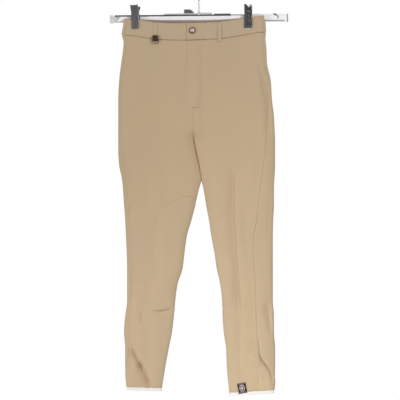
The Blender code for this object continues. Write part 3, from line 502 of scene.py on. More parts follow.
def surfaceFrame(pointAt, a, b, lift, reach=0.8):       # points a little over a surface, and its normals
    a, b = np.asarray(a, float), np.asarray(b, float)
    point = pointAt(a, b)
    normal = np.cross(pointAt(a + reach, b) - pointAt(a - reach, b),
                      pointAt(a, b + reach) - pointAt(a, b - reach))
    normal /= np.maximum(np.linalg.norm(normal, axis=1, keepdims=True), 1e-9)
    sign = np.sign((point[:, 1] - cut["clothPlane"]) * normal[:, 1])
    normal = normal * np.where(sign == 0, 1, sign)[:, None]
    return point + normal * lift, normal


def tubeFaces(stations, sides, closed=False, capped=True):      # of rings of points along a line
    faces = [[k * sides + i, k * sides + (i + 1) % sides,
              (k + 1) % stations * sides + (i + 1) % sides, (k + 1) % stations * sides + i]
             for k in range(stations if closed else stations - 1) for i in range(sides)]
    if capped and not closed:
        faces += [list(range(sides))[::-1], list(range((stations - 1) * sides, stations * sides))]
    return faces


def joined(parts):              # several (points, faces) as one
    points, faces, first = [], [], 0
    for partPoints, partFaces in parts:
        points.append(np.asarray(partPoints, float).reshape(-1, 3))
        faces += [[int(i) + first for i in face] for face in partFaces]
        first += len(points[-1])
    return np.concatenate(points), faces


def unit(vectors):
    return vectors / np.linalg.norm(vectors, axis=1, keepdims=True)


stitch = {"length": 2.7, "pitch": 3.5, "radius": 0.24, "sides": 5,
          "stations": (-0.5, -0.36, 0.0, 0.36, 0.5), "size": (0.45, 0.95, 1.1, 0.95, 0.45),
          "rise": (-0.7, 0.15, 0.4, 0.15, -0.7)}


# a row of separate stitches along a line on the cloth
def stitches(points, normals, length=stitch["length"], pitch=stitch["pitch"], radius=stitch["radius"]):
    walked = lineLength(points)
    count = int((walked[-1] - length) // pitch) + 1
    start = np.arange(count) * pitch + (walked[-1] - (count - 1) * pitch - length) / 2
    a, b = straightLine(points, walked, start), straightLine(points, walked, start + length)
    along = unit(b - a)
    across = unit(np.cross(along, straightLine(normals, walked, start + length / 2)))
    up = np.cross(across, along)
    station, size, rise = (np.array(stitch[key])[:, None] for key in ("stations", "size", "rise"))
    centre = ((a + b) / 2)[:, None] + station * length * along[:, None] + rise * radius * up[:, None]
    turn = 2 * np.pi * np.arange(stitch["sides"]) / stitch["sides"]
    spoke = np.cos(turn)[:, None] * across[:, None] + np.sin(turn)[:, None] * up[:, None]
    made = centre[:, :, None] + spoke[:, None] * (size * radius)[..., None]
    first = np.arange(count)[:, None, None] * len(station) * len(turn)
    tube = tubeFaces(len(station), len(turn))
    quads, ends = ((first + np.array(part)).reshape(-1, len(part[0])).tolist()
                   for part in (tube[:-2], tube[-2:]))
    return made.reshape(-1, 3), quads + ends


def stitchPiece(name, rows, finish="thread", slot="beige_cloth", **size):
    finished(newMesh(name, *joined([stitches(line, up, **size) for line, up in rows])), finish, slot)


def sweep(path, radius, sides=12, closed=False):        # a round wire; its radius may change along it
    path = np.asarray(path, float)
    radius = np.broadcast_to(radius, (len(path),))
    ahead = np.roll(path, -1, 0) - np.roll(path, 1, 0)
    if not closed:
        ahead[0], ahead[-1] = path[1] - path[0], path[-1] - path[-2]
    ahead = unit(ahead)
    up = np.cross(ahead[0], [0.31, 0.87, 0.39])     # any direction that isn't along the wire
    ups = []
    for direction in ahead:
        up = up - direction * (up @ direction)
        up = up / np.linalg.norm(up)
        ups.append(up)
    ups = np.array(ups)
    aside = np.cross(ahead, ups)
    turn = (2 * np.pi * np.arange(sides) / sides)[:, None]
    spokes = np.cos(turn) * ups[:, None] + np.sin(turn) * aside[:, None]
    points = path[:, None] + radius[:, None, None] * spokes
    return points.reshape(-1, 3), tubeFaces(len(path), sides, closed)


def extruded(outline, xs, scale=1.0):       # a bar along x from a (y, z) outline; scale may change along it
    outline = np.asarray(outline, float)
    scale = np.broadcast_to(scale, (len(xs),))
    points = [np.column_stack([np.full(len(outline), x), outline * s]) for x, s in zip(xs, scale)]
    return np.concatenate(points), tubeFaces(len(xs), len(outline))


def roundedOutline(halfY, halfZ, radius, steps=5):
    made = []
    for signY, signZ, first in ((1, 1, 0), (-1, 1, 90), (-1, -1, 180), (1, -1, 270)):
        for k in range(steps + 1):
            angle = math.radians(first + 90 * k / steps)
            made.append((signY * (halfY - radius) + radius * math.cos(angle),
                         signZ * (halfZ - radius) + radius * math.sin(angle)))
    return made


def markEdges(obj, mask):
    data = obj.data.attributes.new("edgeLine", "FLOAT", "POINT").data
    data.foreach_set("value", np.asarray(mask, np.float32))
    return obj


def edgeMask(obj, gain=2.2):    # marks how far each point stands out from its neighbours, for wear; on the grey clip the marked edges carry painted shade
    data = obj.data
    count = len(data.vertices)
    co, normal = np.zeros(count * 3), np.zeros(count * 3)
    data.vertices.foreach_get("co", co)
    data.vertices.foreach_get("normal", normal)
    co, normal = co.reshape(-1, 3), normal.reshape(-1, 3)
    pair = np.zeros(len(data.edges) * 2, int)
    data.edges.foreach_get("vertices", pair)
    a, b = pair.reshape(-1, 2).T
    away = co[a] - co[b]
    away /= np.maximum(np.linalg.norm(away, axis=1, keepdims=True), 1e-12)
    total, used = np.zeros(count), np.zeros(count)
    for i, sign in ((a, 1), (b, -1)):
        np.add.at(total, i, sign * (away * normal[i]).sum(axis=1))
        np.add.at(used, i, 1)
    return markEdges(obj, np.clip(total / np.maximum(used, 1) * gain, 0, 1))


def hardPiece(name, points, faces, finish, slot, *nodes, flat=35):
    return finished(edgeMask(newMesh(name, points, faces, flat=flat)), finish, slot, *nodes)


def newGroup(name, outputs, **inputs):      # an input is a vector if it has no value, a colour or a number
    group = bpy.data.node_groups.new(name, "ShaderNodeTree")
    for key, value in inputs.items():
        kind = "Vector" if value is None else "Color" if isinstance(value, tuple) else "Float"
        made = group.interface.new_socket(key, in_out="INPUT", socket_type="NodeSocket" + kind)
        if value is not None:
            made.default_value = value
    for key in outputs:
        kind = "Color" if key == "Color" else "Float"
        group.interface.new_socket(key, in_out="OUTPUT", socket_type="NodeSocket" + kind)
    return group, group.nodes.new("NodeGroupInput").outputs, group.nodes.new("NodeGroupOutput").inputs


def feed(tree, socket, value):      # a link, or a value of the socket's own
    if hasattr(value, "links"):
        tree.links.new(value, socket)
    else:
        socket.default_value = value


def mathNode(tree, operation, *values, clamp=False):
    made = tree.nodes.new("ShaderNodeMath")
    made.operation, made.use_clamp = operation, clamp
    for socket, value in zip(made.inputs, values):
        feed(tree, socket, value)
    return made.outputs[0]


def times(tree, a, b, **clamp):
    return mathNode(tree, "MULTIPLY", a, b, **clamp)


def plus(tree, a, b):
    return mathNode(tree, "ADD", a, b)


def mixColor(tree, factor, a, b, blend="MIX"):
    made = tree.nodes.new("ShaderNodeMix")
    made.data_type, made.blend_type = "RGBA", blend
    for number, value in ((0, factor), (6, a), (7, b)):
        feed(tree, made.inputs[number], value)
    return made.outputs[2]


def noiseNode(tree, vector, scale, detail, rough=0.55):
    made = tree.nodes.new("ShaderNodeTexNoise")
    for key, value in (("Vector", vector), ("Scale", scale), ("Detail", detail), ("Roughness", rough)):
        feed(tree, made.inputs[key], value)
    return made.outputs["Fac"]


def spread(tree, value, low, high, first=0.0, last=1.0):
    made = tree.nodes.new("ShaderNodeMapRange")
    feed(tree, made.inputs["Value"], value)
    for key, number in (("From Min", low), ("From Max", high), ("To Min", first), ("To Max", last)):
        made.inputs[key].default_value = number
    return made.outputs["Result"]


def buildThreadWeave():     # fine twill: warp and weft threads with a slanting rib
    group, given, result = newGroup("threadWeave", ("Height",),
                                    Vector=None, Threads=1900.0, Slant=1.0, Rib=0.5)
    split = group.nodes.new("ShaderNodeSeparateXYZ")
    feed(group, split.inputs[0], given["Vector"])
    turns = times(group, given["Threads"], 2 * math.pi)
    wobble = spread(group, noiseNode(group, given["Vector"], 260.0, 2.0), 0.0, 1.0, -1.1, 1.1)
    across = plus(group, times(group, split.outputs["X"], turns), wobble)
    along = plus(group, times(group, split.outputs["Y"], turns), wobble)
    warp, weft = mathNode(group, "SINE", across), mathNode(group, "SINE", along)
    slanted = plus(group, times(group, across, given["Slant"]), along)
    ribbed = times(group, mathNode(group, "SINE", times(group, slanted, 0.5)), given["Rib"])
    plain = times(group, times(group, warp, weft), 0.5)
    height = plus(group, plus(group, plain, ribbed), 1.0)
    feed(group, result["Height"], times(group, height, 0.5))
    return group


def buildClothMottle():     # uneven dye and brushed fibre in a cloth's colour
    group, given, result = newGroup("clothMottle", ("Color",), Vector=None, Base=(0.5, 0.4, 0.3, 1),
                                    Tint=(0.5, 0.4, 0.3, 1), Amount=0.5, Fibre=0.08)
    patch = spread(group, noiseNode(group, given["Vector"], 7.0, 4.0, 0.6), 0.36, 0.66)
    stain = mixColor(group, times(group, patch, given["Amount"]), given["Base"], given["Tint"])
    fine = spread(group, noiseNode(group, given["Vector"], 1500.0, 2.0, 0.7), 0.3, 0.7, -1.0, 1.0)
    bright = plus(group, times(group, fine, given["Fibre"]), 1.0)
    grey = group.nodes.new("ShaderNodeCombineColor")
    for socket in grey.inputs:
        feed(group, socket, bright)
    feed(group, result["Color"], mixColor(group, 1.0, stain, grey.outputs[0], "MULTIPLY"))
    return group


def buildSurfaceGrain():    # pores, fuzz and moulding texture
    group, given, result = newGroup("surfaceGrain", ("Height", "Mask"), Vector=None, Scale=600.0, Cells=0.3)
    noise = noiseNode(group, given["Vector"], given["Scale"], 4.0, 0.6)
    cells = group.nodes.new("ShaderNodeTexVoronoi")
    feed(group, cells.inputs["Vector"], given["Vector"])
    feed(group, cells.inputs["Scale"], times(group, given["Scale"], 0.8))
    pits = times(group, cells.outputs["Distance"], given["Cells"])
    feed(group, result["Height"], plus(group, noise, pits))
    feed(group, result["Mask"], spread(group, noise, 0.52, 0.66))
    return group


def buildMarkedColor():       # a colour with speckles, scuffs and marked edges, broken up by noise; marked edges are rubbed wear on most finishes, painted shade on the grey clip and a painted highlight on the button
    group, given, result = newGroup("markedColor", ("Color",), Vector=None, Base=(0.5, 0.5, 0.5, 1),
                                    Worn=(0.7, 0.7, 0.7, 1), Edge=0.0, Speckles=0.0, Scale=160.0,
                                    Rubbed=0.6, Scuffed=0.25)
    noise = noiseNode(group, given["Vector"], given["Scale"], 5.0, 0.7)
    markedEdges = times(group, given["Edge"], spread(group, noise, 0.35, 0.6))
    scuffs = times(group, spread(group, noise, 0.56, 0.72), given["Scuffed"])
    color = given["Base"]
    for factor in (given["Speckles"], scuffs, times(group, markedEdges, given["Rubbed"], clamp=True)):
        color = mixColor(group, factor, color, given["Worn"])
    feed(group, result["Color"], color)
    return group


groups = {"weave": buildThreadWeave(), "mottle": buildClothMottle(),
          "grain": buildSurfaceGrain(), "worn": buildMarkedColor()}


def newMaterial(name, constants):       # constants go on the shader's own sockets
    made = bpy.data.materials.new(name)
    made.use_nodes = True
    shader = made.node_tree.nodes["Principled BSDF"]
    for key, value in constants.items():
        shader.inputs[key].default_value = value
    return made, made.node_tree, shader


def placeGroup(tree, key, **values):
    made = tree.nodes.new("ShaderNodeGroup")
    made.node_tree = groups[key]
    for socketName, value in values.items():
        feed(tree, made.inputs[socketName], value)
    return made.outputs


def addBump(tree, shader, height, strength, distance, before=None):
    bump = tree.nodes.new("ShaderNodeBump")
    for key, value in (("Strength", strength), ("Distance", distance), ("Height", height)):
        feed(tree, bump.inputs[key], value)
    if before is not None:
        feed(tree, bump.inputs["Normal"], before)
    feed(tree, shader.inputs["Normal"], bump.outputs["Normal"])
    return bump.outputs["Normal"]


def clothMaterial(name, base, tint, amount, fibre, threads, rib, relief, rough, sheen):
    made, tree, shader = newMaterial(name, {"Sheen Weight": sheen, "Sheen Roughness": 0.45,
                                            "Sheen Tint": (*base, 1), "Specular IOR Level": 0.25})
    place = tree.nodes.new("ShaderNodeUVMap")
    place.uv_map = "clothMap"
    uv = place.outputs["UV"]
    mottle = placeGroup(tree, "mottle", Vector=uv, Base=(*base, 1), Tint=(*tint, 1),
                        Amount=amount, Fibre=fibre)
    weave = placeGroup(tree, "weave", Vector=uv, Threads=threads, Rib=rib)
    fuzz = placeGroup(tree, "grain", Vector=uv, Scale=420.0, Cells=0.1)["Height"]
    feed(tree, shader.inputs["Base Color"], mottle["Color"])
    feed(tree, shader.inputs["Roughness"], spread(tree, fuzz, 0.3, 0.8, rough - 0.08, min(rough + 0.06, 1)))
    first = addBump(tree, shader, weave["Height"], 0.55, relief)
    addBump(tree, shader, fuzz, 0.4, relief * 0.9, first)
    return made


def hardMaterial(name, base, worn, rough, grain, markedShare, scuffed, constants):
    scale, cells, speckles, strength, depth = grain
    made, tree, shader = newMaterial(name, constants)
    place = tree.nodes.new("ShaderNodeTexCoord").outputs["Object"]
    edge = tree.nodes.new("ShaderNodeAttribute")
    edge.attribute_name = "edgeLine"
    skin = placeGroup(tree, "grain", Vector=place, Scale=scale, Cells=cells)
    color = placeGroup(tree, "worn", Vector=place, Edge=edge.outputs["Fac"], Scale=scale * 0.4,
                       Speckles=times(tree, skin["Mask"], speckles), Rubbed=markedShare, Scuffed=scuffed,
                       Base=(*base, 1), Worn=(*worn, 1))["Color"]
    feed(tree, shader.inputs["Base Color"], color)
    feed(tree, shader.inputs["Roughness"], spread(tree, skin["Height"], 0.3, 0.9, rough - 0.07, rough + 0.1))
    addBump(tree, shader, skin["Height"], strength, depth)
    return made


fawnTint = (0.492, 0.380, 0.252)
# name, colour, second colour, its share, fibre, threads a metre, rib, relief in metres, roughness, sheen
clothRows = {
    "cloth": ("fawnTwill", (0.525, 0.391, 0.246), fawnTint, 0.7, 0.05, 1900, 0.55, 0.00012, 0.86, 0.18),
    "patch": ("fawnPatchTwill", (0.528, 0.394, 0.252), fawnTint, 0.5, 0.05, 1900, 0.55, 0.00012, 0.88, 0.18),
    "band": ("fawnBandTwill", (0.515, 0.390, 0.256), fawnTint, 0.5, 0.05, 1900, 0.55, 0.00012, 0.86, 0.16),
    "facing": ("facingWeave", (0.34, 0.275, 0.245), (0.275, 0.227, 0.212), 0.4, 0.08, 1300, 0.2,
               0.00012, 0.9, 0.1),
    "tape": ("whiteTapeWeave", (0.80, 0.77, 0.72), (0.74, 0.71, 0.66), 0.5, 0.05, 1100, 0.1,
             0.00016, 0.8, 0.1),
    "label": ("labelWeave", (0.022, 0.018, 0.022), (0.035, 0.028, 0.03), 0.5, 0.15, 2300, 0.1,
              0.0001, 0.7, 0.1),
}
railGrain = (300, 0.3, 0.2, 0.2, 0.0001)
# name, colour, second colour for wear and painted light, roughness, (grain's scale, cells, speckles,
# strength, depth in metres), share of marked edges and of scuffs, and the shader's other constants
hardRows = {
    "thread": ("fawnThread", (0.43, 0.32, 0.205), (0.52, 0.40, 0.27), 0.7,
               (2400, 0.2, 0.5, 0.4, 0.00006), 0.2, 0.1, {}),
    "paleThread": ("paleThread", (0.66, 0.56, 0.55), (0.75, 0.67, 0.64), 0.6,
                   (2400, 0.2, 0.5, 0.5, 0.00008), 0.2, 0.1, {}),
    "leather": ("brownLeather", (0.052, 0.028, 0.009), (0.12, 0.07, 0.03), 0.6,
                (900, 0.7, 0.12, 0.5, 0.00025), 0.6, 0.15, {"Specular IOR Level": 0.25}),
    # the pale second colour is a painted highlight over the button's dome and rubbed metal on its rim; the
    # ring is paler towards its bow
    "bronze": ("antiqueBronze", (0.075, 0.042, 0.024), (0.72, 0.57, 0.52), 0.36,
               (500, 0.3, 0.5, 0.3, 0.0001), 0.95, 0.25, {"Metallic": 0.6}),
    # the grey clip's dark second colour on its marked edges is painted shade, a dark rim round the leaf
    "greyClip": ("greyClipPlastic", (0.108, 0.105, 0.110), (0.022, 0.020, 0.022), 0.36,
                 (110, 0.3, 0.6, 0.25, 0.00015), 0.5, 0.2, {}),
    "darkClip": ("darkClipPlastic", (0.017, 0.017, 0.019), (0.32, 0.31, 0.315), 0.40,
                 (260, 0.8, 0.6, 0.35, 0.0002), 0.6, 0.35, {}),
    "pad": ("paleGripPad", (0.72, 0.72, 0.70), (0.60, 0.59, 0.56), 0.62,
            (420, 0.4, 0.2, 0.3, 0.0001), 0.3, 0.2, {}),
    "bar": ("paintedBar", (0.97, 0.955, 0.98), (0.92, 0.91, 0.945), 0.34,
            (60, 0.1, 0.25, 0.08, 0.0002), 0.35, 0.12, {"Coat Weight": 0.3, "Coat Roughness": 0.2}),
    # this grey paints the thinning end of the shade line on the bar's top and the right cap's notch lines;
    # on the hub's arm it is the plastic's own grey
    "rail": ("greyRail", (0.155, 0.158, 0.165), (0.28, 0.28, 0.285), 0.45, railGrain, 0.5, 0.2, {}),
    # a dark finish that paints shade: the line along the bar's top edge and the left cap's notch lines
    "darkRail": ("darkRail", (0.022, 0.023, 0.025), (0.11, 0.11, 0.115), 0.5,
                 (300, 0.3, 0.3, 0.2, 0.0001), 0.5, 0.2, {}),
    # light and mid grey paint the shade along the bar's foot; on the hub and the left cap's rim they are the
    # plastic's own grey
    "lightRail": ("lightGreyRail", (0.58, 0.58, 0.59), (0.68, 0.68, 0.69), 0.42, railGrain, 0.5, 0.2, {}),
    "midRail": ("midGreyRail", (0.36, 0.36, 0.37), (0.50, 0.50, 0.51), 0.42, railGrain, 0.5, 0.2, {}),
    "socket": ("darkSocket", (0.075, 0.077, 0.08), (0.34, 0.34, 0.345), 0.42,
               (300, 0.4, 0.4, 0.25, 0.00012), 0.8, 0.3, {}),
    "cap": ("milkyCap", (0.70, 0.70, 0.70), (0.56, 0.56, 0.56), 0.3, (200, 0.2, 0.2, 0.1, 0.0001), 0.4, 0.15,
            {"Subsurface Weight": 0.15, "Subsurface Scale": 0.002}),
    "steel": ("platedWire", (0.58, 0.58, 0.59), (0.34, 0.33, 0.32), 0.24,
              (800, 0.3, 0.25, 0.15, 0.00005), 0.3, 0.3, {"Metallic": 1.0}),
    "floor": ("paleFloor", (0.82, 0.82, 0.81), (0.76, 0.76, 0.75), 0.7,
              (40, 0.1, 0.1, 0.05, 0.0003), 0.0, 0.05, {}),
}
materials = {key: clothMaterial(*row) for key, row in clothRows.items()}
materials.update({key: hardMaterial(*row) for key, row in hardRows.items()})
print("materials made")

# a span is where a ridge starts, is whole, starts to fall and ends, measured from an edge
panel = {"rowStep": 3.2, "columnStep": 2.1, "roll": 0.34, "seamOpen": 0.04,
         "dip": 0.16, "waistDip": 0.7, "dipWidth": 1.9, "lap": 0.3, "lapSpan": (0.8, 2.2, 4.4, 6.6),
         "allowance": 0.4, "allowanceSpan": (1.5, 3.5, 6.5, 8.5),
         "pucker": 0.16, "puckerReach": 6.5, "puckerLength": 14.0,
         "puckerPhase": {"right": (0.4, 1.9), "left": (2.3, 4.4)},      # at the side seam, the inner edge
         "centreSeamEnd": (380, 415), "inseamStart": (526, 545), "sideSeamEnd": (925, 948)}


def puckers(distance, down, phase):     # small ripples beside a seam, uneven along it
    drift = 1.7 * np.sin(down / 37.0 + phase) + 1.1 * np.sin(down / 13.7 + 2 * phase)
    strength = 0.55 + 0.45 * np.sin(down / 61.0 + 3.1 * phase)
    ripple = np.sin(2 * np.pi * down / panel["puckerLength"] + drift)
    return panel["pucker"] * strength * ripple * np.exp(-distance / panel["puckerReach"])


def buildPanel(side, face):
    downs = edgeSpaced(cut["waistSeam"] + cut["seamGap"], cut["clothHem"], panel["rowStep"])
    seam, gap = seamReach(side, downs), panel["seamOpen"]
    start, end = (gap, seam - gap) if face == "front" else (seam + gap, roundLength(side, downs) - gap)
    along = edgeSpaced(start, end, panel["columnStep"])
    base = loopPoint(side, downs[:, None], along)
    normal = gridNormals(base)
    first, last, top, _ = edgeDistances(base)
    fromSide, fromInner = (last, first) if face == "front" else (first, last)
    level = downs[:, None] + 0 * top
    aboveFlap = 1 - smoothStep(*panel["sideSeamEnd"], level)
    innerSeam = smoothStep(*panel["inseamStart"], level) + 1 - smoothStep(*panel["centreSeamEnd"], level)
    relief = -panel["waistDip"] * np.exp(-(top / panel["dipWidth"]) ** 2)
    seams = zip((fromSide, fromInner), (aboveFlap, innerSeam), panel["puckerPhase"][side])
    for distance, share, phase in seams:
        relief -= panel["dip"] * share * np.exp(-(distance / panel["dipWidth"]) ** 2)
        relief += puckers(distance, level, phase)
    relief += panel["allowance"] * hill(*panel["allowanceSpan"], top)
    if face == "front":     # the turned allowance shows as a low ridge beside the side seam
        relief += panel["lap"] * hill(*panel["lapSpan"], fromSide) * aboveFlap
    obj = clothShell(f"{face}Panel{side.capitalize()}", base + normal * relief[..., None], normal,
                     cut["clothWall"], panel["roll"], tips=(outward[side],) if face == "back" else ())
    nodes = [f"{face}_{length}_{side}" for length in ("hip", "thigh", "calf")]
    return finished(obj, "cloth", "beige_cloth", *nodes), base


panels = {(side, face): buildPanel(side, face) for side in outward for face in ("front", "back")}
print("panels made")

turning = {"wall": 0.4, "roll": 0.1, "waistDowns": (157.5, 171.0), "crotchDowns": (372.0, 529.0),
           "waist": {"right": (-193.5, -148.0), "left": (118.0, 172.5)}, "crotchHalf": 3.2}


def buildTurning(name, side, xs, downs):        # a seam allowance that shows inside
    xs, downs = np.broadcast_arrays(xs, downs[:, None])
    y = np.full(xs.shape, cut["clothPlane"] - turning["wall"] / 2)
    grid = np.stack([xs, y, -trueDown(side, "front", xs, downs)], axis=-1)
    obj = clothShell(name, grid, evenNormals(grid, -1), turning["wall"], turning["roll"])
    return finished(obj, "cloth", "beige_cloth"), grid


for side, ends in turning["waist"].items():
    downs = edgeSpaced(*turning["waistDowns"], 2.0)
    waistTurning = buildTurning(f"waistTurning{side.capitalize()}", side, edgeSpaced(*ends, 3.0), downs)
    declareCloth(*waistTurning, f"frontPanel{side.capitalize()}")
downs = edgeSpaced(*turning["crotchDowns"], 4.0)
middle = (innerEdge("right", downs) + innerEdge("left", downs)) / 2
crotchXs = middle[:, None] + edgeSpaced(-turning["crotchHalf"], turning["crotchHalf"], 1.0)
crotchTurning, _ = buildTurning("crotchTurning", "left", crotchXs, downs)

patchShell = {"wall": 0.14, "roll": 0.12, "lift": 0.17}     # of the knee patches and cuff flaps
kneePatch = {"rise": {"right": 0.62, "left": 0.22}, "pucker": 0.6, "phase": {"right": 5.1, "left": 0.9},
             "ridge": 0.15, "ridgeSpan": (1.0, 2.5, 5.0, 7.0), "seam": 0.35, "seamWidth": 1.4,
             "sideSlope": 22.0, "endSlope": 2.6, "endShare": 0.3,
             "rowStep": 3.0, "columnStep": 2.4, "stitchInset": 2.2,
             "bottom": {"right": 866.0, "left": 852.0}, "rowsFrom": 580.0, "widthFrom": 600.0,
             "front": (0.5, 0.52), "back": (0.28, 0.28),        # shares of the leg's width, above and below
             "topLine": ((-62, 604), (-20, 596), (4, 586), (24, 568), (40, 567), (62, 580), (95, 600))}


def buildKneePatch(side):       # along is measured from the inner fold, and the back is negative
    bottom = kneePatch["bottom"][side]
    height = bottom - kneePatch["rowsFrom"]
    rows = edgeSpaced(0.0, height, kneePatch["rowStep"])[:, None] / height
    ends = {face: [share * faceWidth(side, face, down) for share, down
                   in zip(kneePatch[face], (kneePatch["widthFrom"], bottom))] for face in ("front", "back")}
    width = ends["front"][0] + ends["back"][0]
    columns = edgeSpaced(0.0, width, kneePatch["columnStep"]) / width
    front, back = (above + (below - above) * rows for above, below in ends.values())
    along = -back + (front + back) * columns
    edge = curveThrough(*np.array(kneePatch["topLine"], float).T, along)
    down = edge + (bottom - edge) * rows
    base = loopPoint(side, down, along)
    first, last, top, foot = edgeDistances(base)
    near = np.minimum.reduce([first, last, top, foot])
    rise = kneePatch["rise"][side] + kneePatch["ridge"] * hill(*kneePatch["ridgeSpan"], near)
    rise += kneePatch["pucker"] * puckers(near, down + along * 0.8, kneePatch["phase"][side])
    rise -= kneePatch["seam"] * np.exp(-(along / kneePatch["seamWidth"]) ** 2)
    rise *= smoothStep(0, kneePatch["sideSlope"], np.minimum(first, last))
    inward = smoothStep(0, kneePatch["endSlope"], np.minimum(top, foot))
    rise *= kneePatch["endShare"] + (1 - kneePatch["endShare"]) * inward
    outside, normal = sewnCloth(
        f"kneePatch{side.capitalize()}", base, patchShell["lift"] + rise, patchShell["wall"],
        patchShell["roll"], "patch", "beige_cloth", [f"knee_patch_{side}"],
        (f"frontPanel{side.capitalize()}", f"backPanel{side.capitalize()}"), rollIn=0.0)
    return [threadRow(outside, normal, distance, kneePatch["stitchInset"], 2) for distance in (top, foot)]


cuffFlap = {"rise": {"right": 0.5, "left": 1.2}, "ridge": {"right": 0.12, "left": 0.3},
            "ridgeSpan": (1.0, 2.5, 5.0, 7.5), "edgeSlope": 1.5, "seamSlope": 7.0,
            "top": 942.0, "tip": 1040.0, "rowsFrom": 1000.0, "pastFold": 16.0, "pastSeam": 3.2,
            "fromSeam": 0.2, "aboveHem": 0.4,
            "rowStep": 2.6, "columnStep": 2.2, "stitchInset": 2.4,
            # shares of the way from seam to fold and of the way down
            "edge": ((-0.3, -0.1), (0, 0.02), (0.06, 0.36), (0.2, 0.52),
                     (0.48, 0.67), (0.74, 0.79), (1, 0.97), (2.6, 1.14))}


def buildCuffFlap(side):
    bottom, top, tip = cut["clothHem"], cuffFlap["top"], cuffFlap["tip"]
    middle = (tip + bottom) / 2
    toFold = faceWidth(side, "front", middle) - seamReach(side, middle)
    columns = edgeSpaced(-cuffFlap["pastSeam"], toFold + cuffFlap["pastFold"], cuffFlap["columnStep"])
    edge = top + (tip - top) * curveThrough(*np.array(cuffFlap["edge"], float).T, columns / toFold)
    height = bottom - cuffFlap["rowsFrom"]
    rows = edgeSpaced(0.0, height, cuffFlap["rowStep"])[:, None] / height
    down = edge + (bottom - cuffFlap["aboveHem"] - edge) * rows
    base = loopPoint(side, down, seamReach(side, down) + cuffFlap["fromSeam"] + columns)
    first, last, fromTop, _ = edgeDistances(base)
    near = np.minimum(fromTop, last)
    rise = cuffFlap["rise"][side] + cuffFlap["ridge"][side] * hill(*cuffFlap["ridgeSpan"], near)
    rise *= smoothStep(0, cuffFlap["edgeSlope"], near) * smoothStep(0, cuffFlap["seamSlope"], first)
    outside, normal = sewnCloth(
        f"cuffFlap{side.capitalize()}", base, patchShell["lift"] + rise, patchShell["wall"],
        patchShell["roll"], "patch", "beige_cloth", [f"cuff_flap_{side}"],
        (f"backPanel{side.capitalize()}", f"frontPanel{side.capitalize()}"), rollIn=0.0, row=-1)
    return [threadRow(outside, normal, fromTop, cuffFlap["stitchInset"], 2)]


fly = {"wall": 0.3, "rise": 0.7, "leftRise": 0.12, "lift": 0.05, "roll": 0.27, "top": 165.2, "bottom": 343.0,
       "right": -31.0, "left": 9.0, "curve": 285.0, "narrow": (5.0, 13.0), "sink": (215, 285, 0.62),
       "thins": (0.25, 0.95), "ridge": 0.35, "ridgeSpan": (0.5, 2.0, 4.0, 9.0), "pucker": 0.6, "phase": 2.2,
       "rowStep": 2.4, "columnStep": 1.6, "seam": 22.0, "seamDip": 0.1, "seamWidth": 1.6,
       "seamCurve": (300.0, 20.0, 40.0), "stitchGap": 5.5,
       "tackDown": 338.0, "tackXs": (-21.0, 3.5)}


def buildFly():
    downs = edgeSpaced(fly["top"], fly["bottom"], fly["rowStep"])
    turn = smoothStep(fly["curve"], fly["bottom"], downs) ** 1.5
    right, left = fly["right"] + fly["narrow"][0] * turn, fly["left"] - fly["narrow"][1] * turn
    xs = edgeSpaced(right, left, fly["columnStep"])
    base = facePoint("front", xs, downs[:, None])
    first, last, _, _ = edgeDistances(base)
    share = (xs - right[:, None]) / (left - right)[:, None]
    low, high, amount = fly["sink"]
    rise = fly["lift"] + fly["rise"] * (1 - (1 - fly["leftRise"]) * smoothStep(*fly["thins"], share))
    rise *= (1 - amount * smoothStep(low, high, downs))[:, None]
    rise += fly["ridge"] * hill(*fly["ridgeSpan"], first)
    rise += fly["pucker"] * puckers(np.minimum(first, last), downs[:, None], fly["phase"])
    seam = cut["centre"] + fly["seam"]
    rise -= fly["seamDip"] * np.exp(-((xs - seam) / fly["seamWidth"]) ** 2) * smoothStep(1, 3, last)
    sewnCloth("flyOverlap", base, rise, fly["wall"], np.array((1, 0, 1, 1)) * fly["roll"], "patch",
              "beige_cloth", ["fly_overlap"], ("frontPanelRight", "frontPanelLeft"), rollIn=0.0)
    start, width, depth = fly["seamCurve"]
    turn = np.linspace(0, math.pi / 2, 160)
    seamDown = np.concatenate([np.linspace(fly["top"] + 3, start, 90), start + depth * np.sin(turn)])
    seamX = np.concatenate([np.full(90, seam), seam - width + width * np.cos(turn)])
    return [surfaceFrame(frontSurface, seamX - inset, seamDown - inset * 0.4, fly["lift"] + 0.1)
            for inset in (0.0, fly["stitchGap"])]


def frontSurface(x, down):
    return facePoint("front", x, down)


def flyTack():                  # a small tack of close stitches across the fly's end
    xs = np.linspace(*fly["tackXs"], 12)
    return [surfaceFrame(frontSurface, xs, fly["tackDown"] + shift + 0 * xs, fly["lift"] + 0.3)
            for shift in (-0.5, 0.0, 0.5)]


threads = {"knee": [], "cuff": [], "fly": buildFly()}
for side in outward:
    threads["knee"] += buildKneePatch(side)
    threads["cuff"] += buildCuffFlap(side)
print("patches, flaps and fly made")

band = {"rowStep": 2.4, "columnStep": 2.0, "sideGap": 0.15, "frontRoll": (0.4, 0.6, 1.02, 0.7),
        "backRoll": (0.4, 0.4, 1.02, 0.7), "ends": {"right": -8.0, "left": -32.0},
        "clear": 4.0, "ramp": 26.0, "lift": 0.45, "topStitch": 3.4, "footStitch": 2.6,
        "topRidge": 0.22, "footRidge": 0.25, "ridgeSpan": (0.8, 2.2, 4.0, 6.0), "stitchDip": 0.25,
        "wave": 0.16, "ripple": 0.10,
        "facingWall": 1.0, "facingRoll": 0.42, "facingShort": 8.0, "facingPast": 9.0}
bandTop, bandBottom = cut["waistSeam"] - cut["bandHeight"], cut["waistSeam"] - cut["seamGap"]


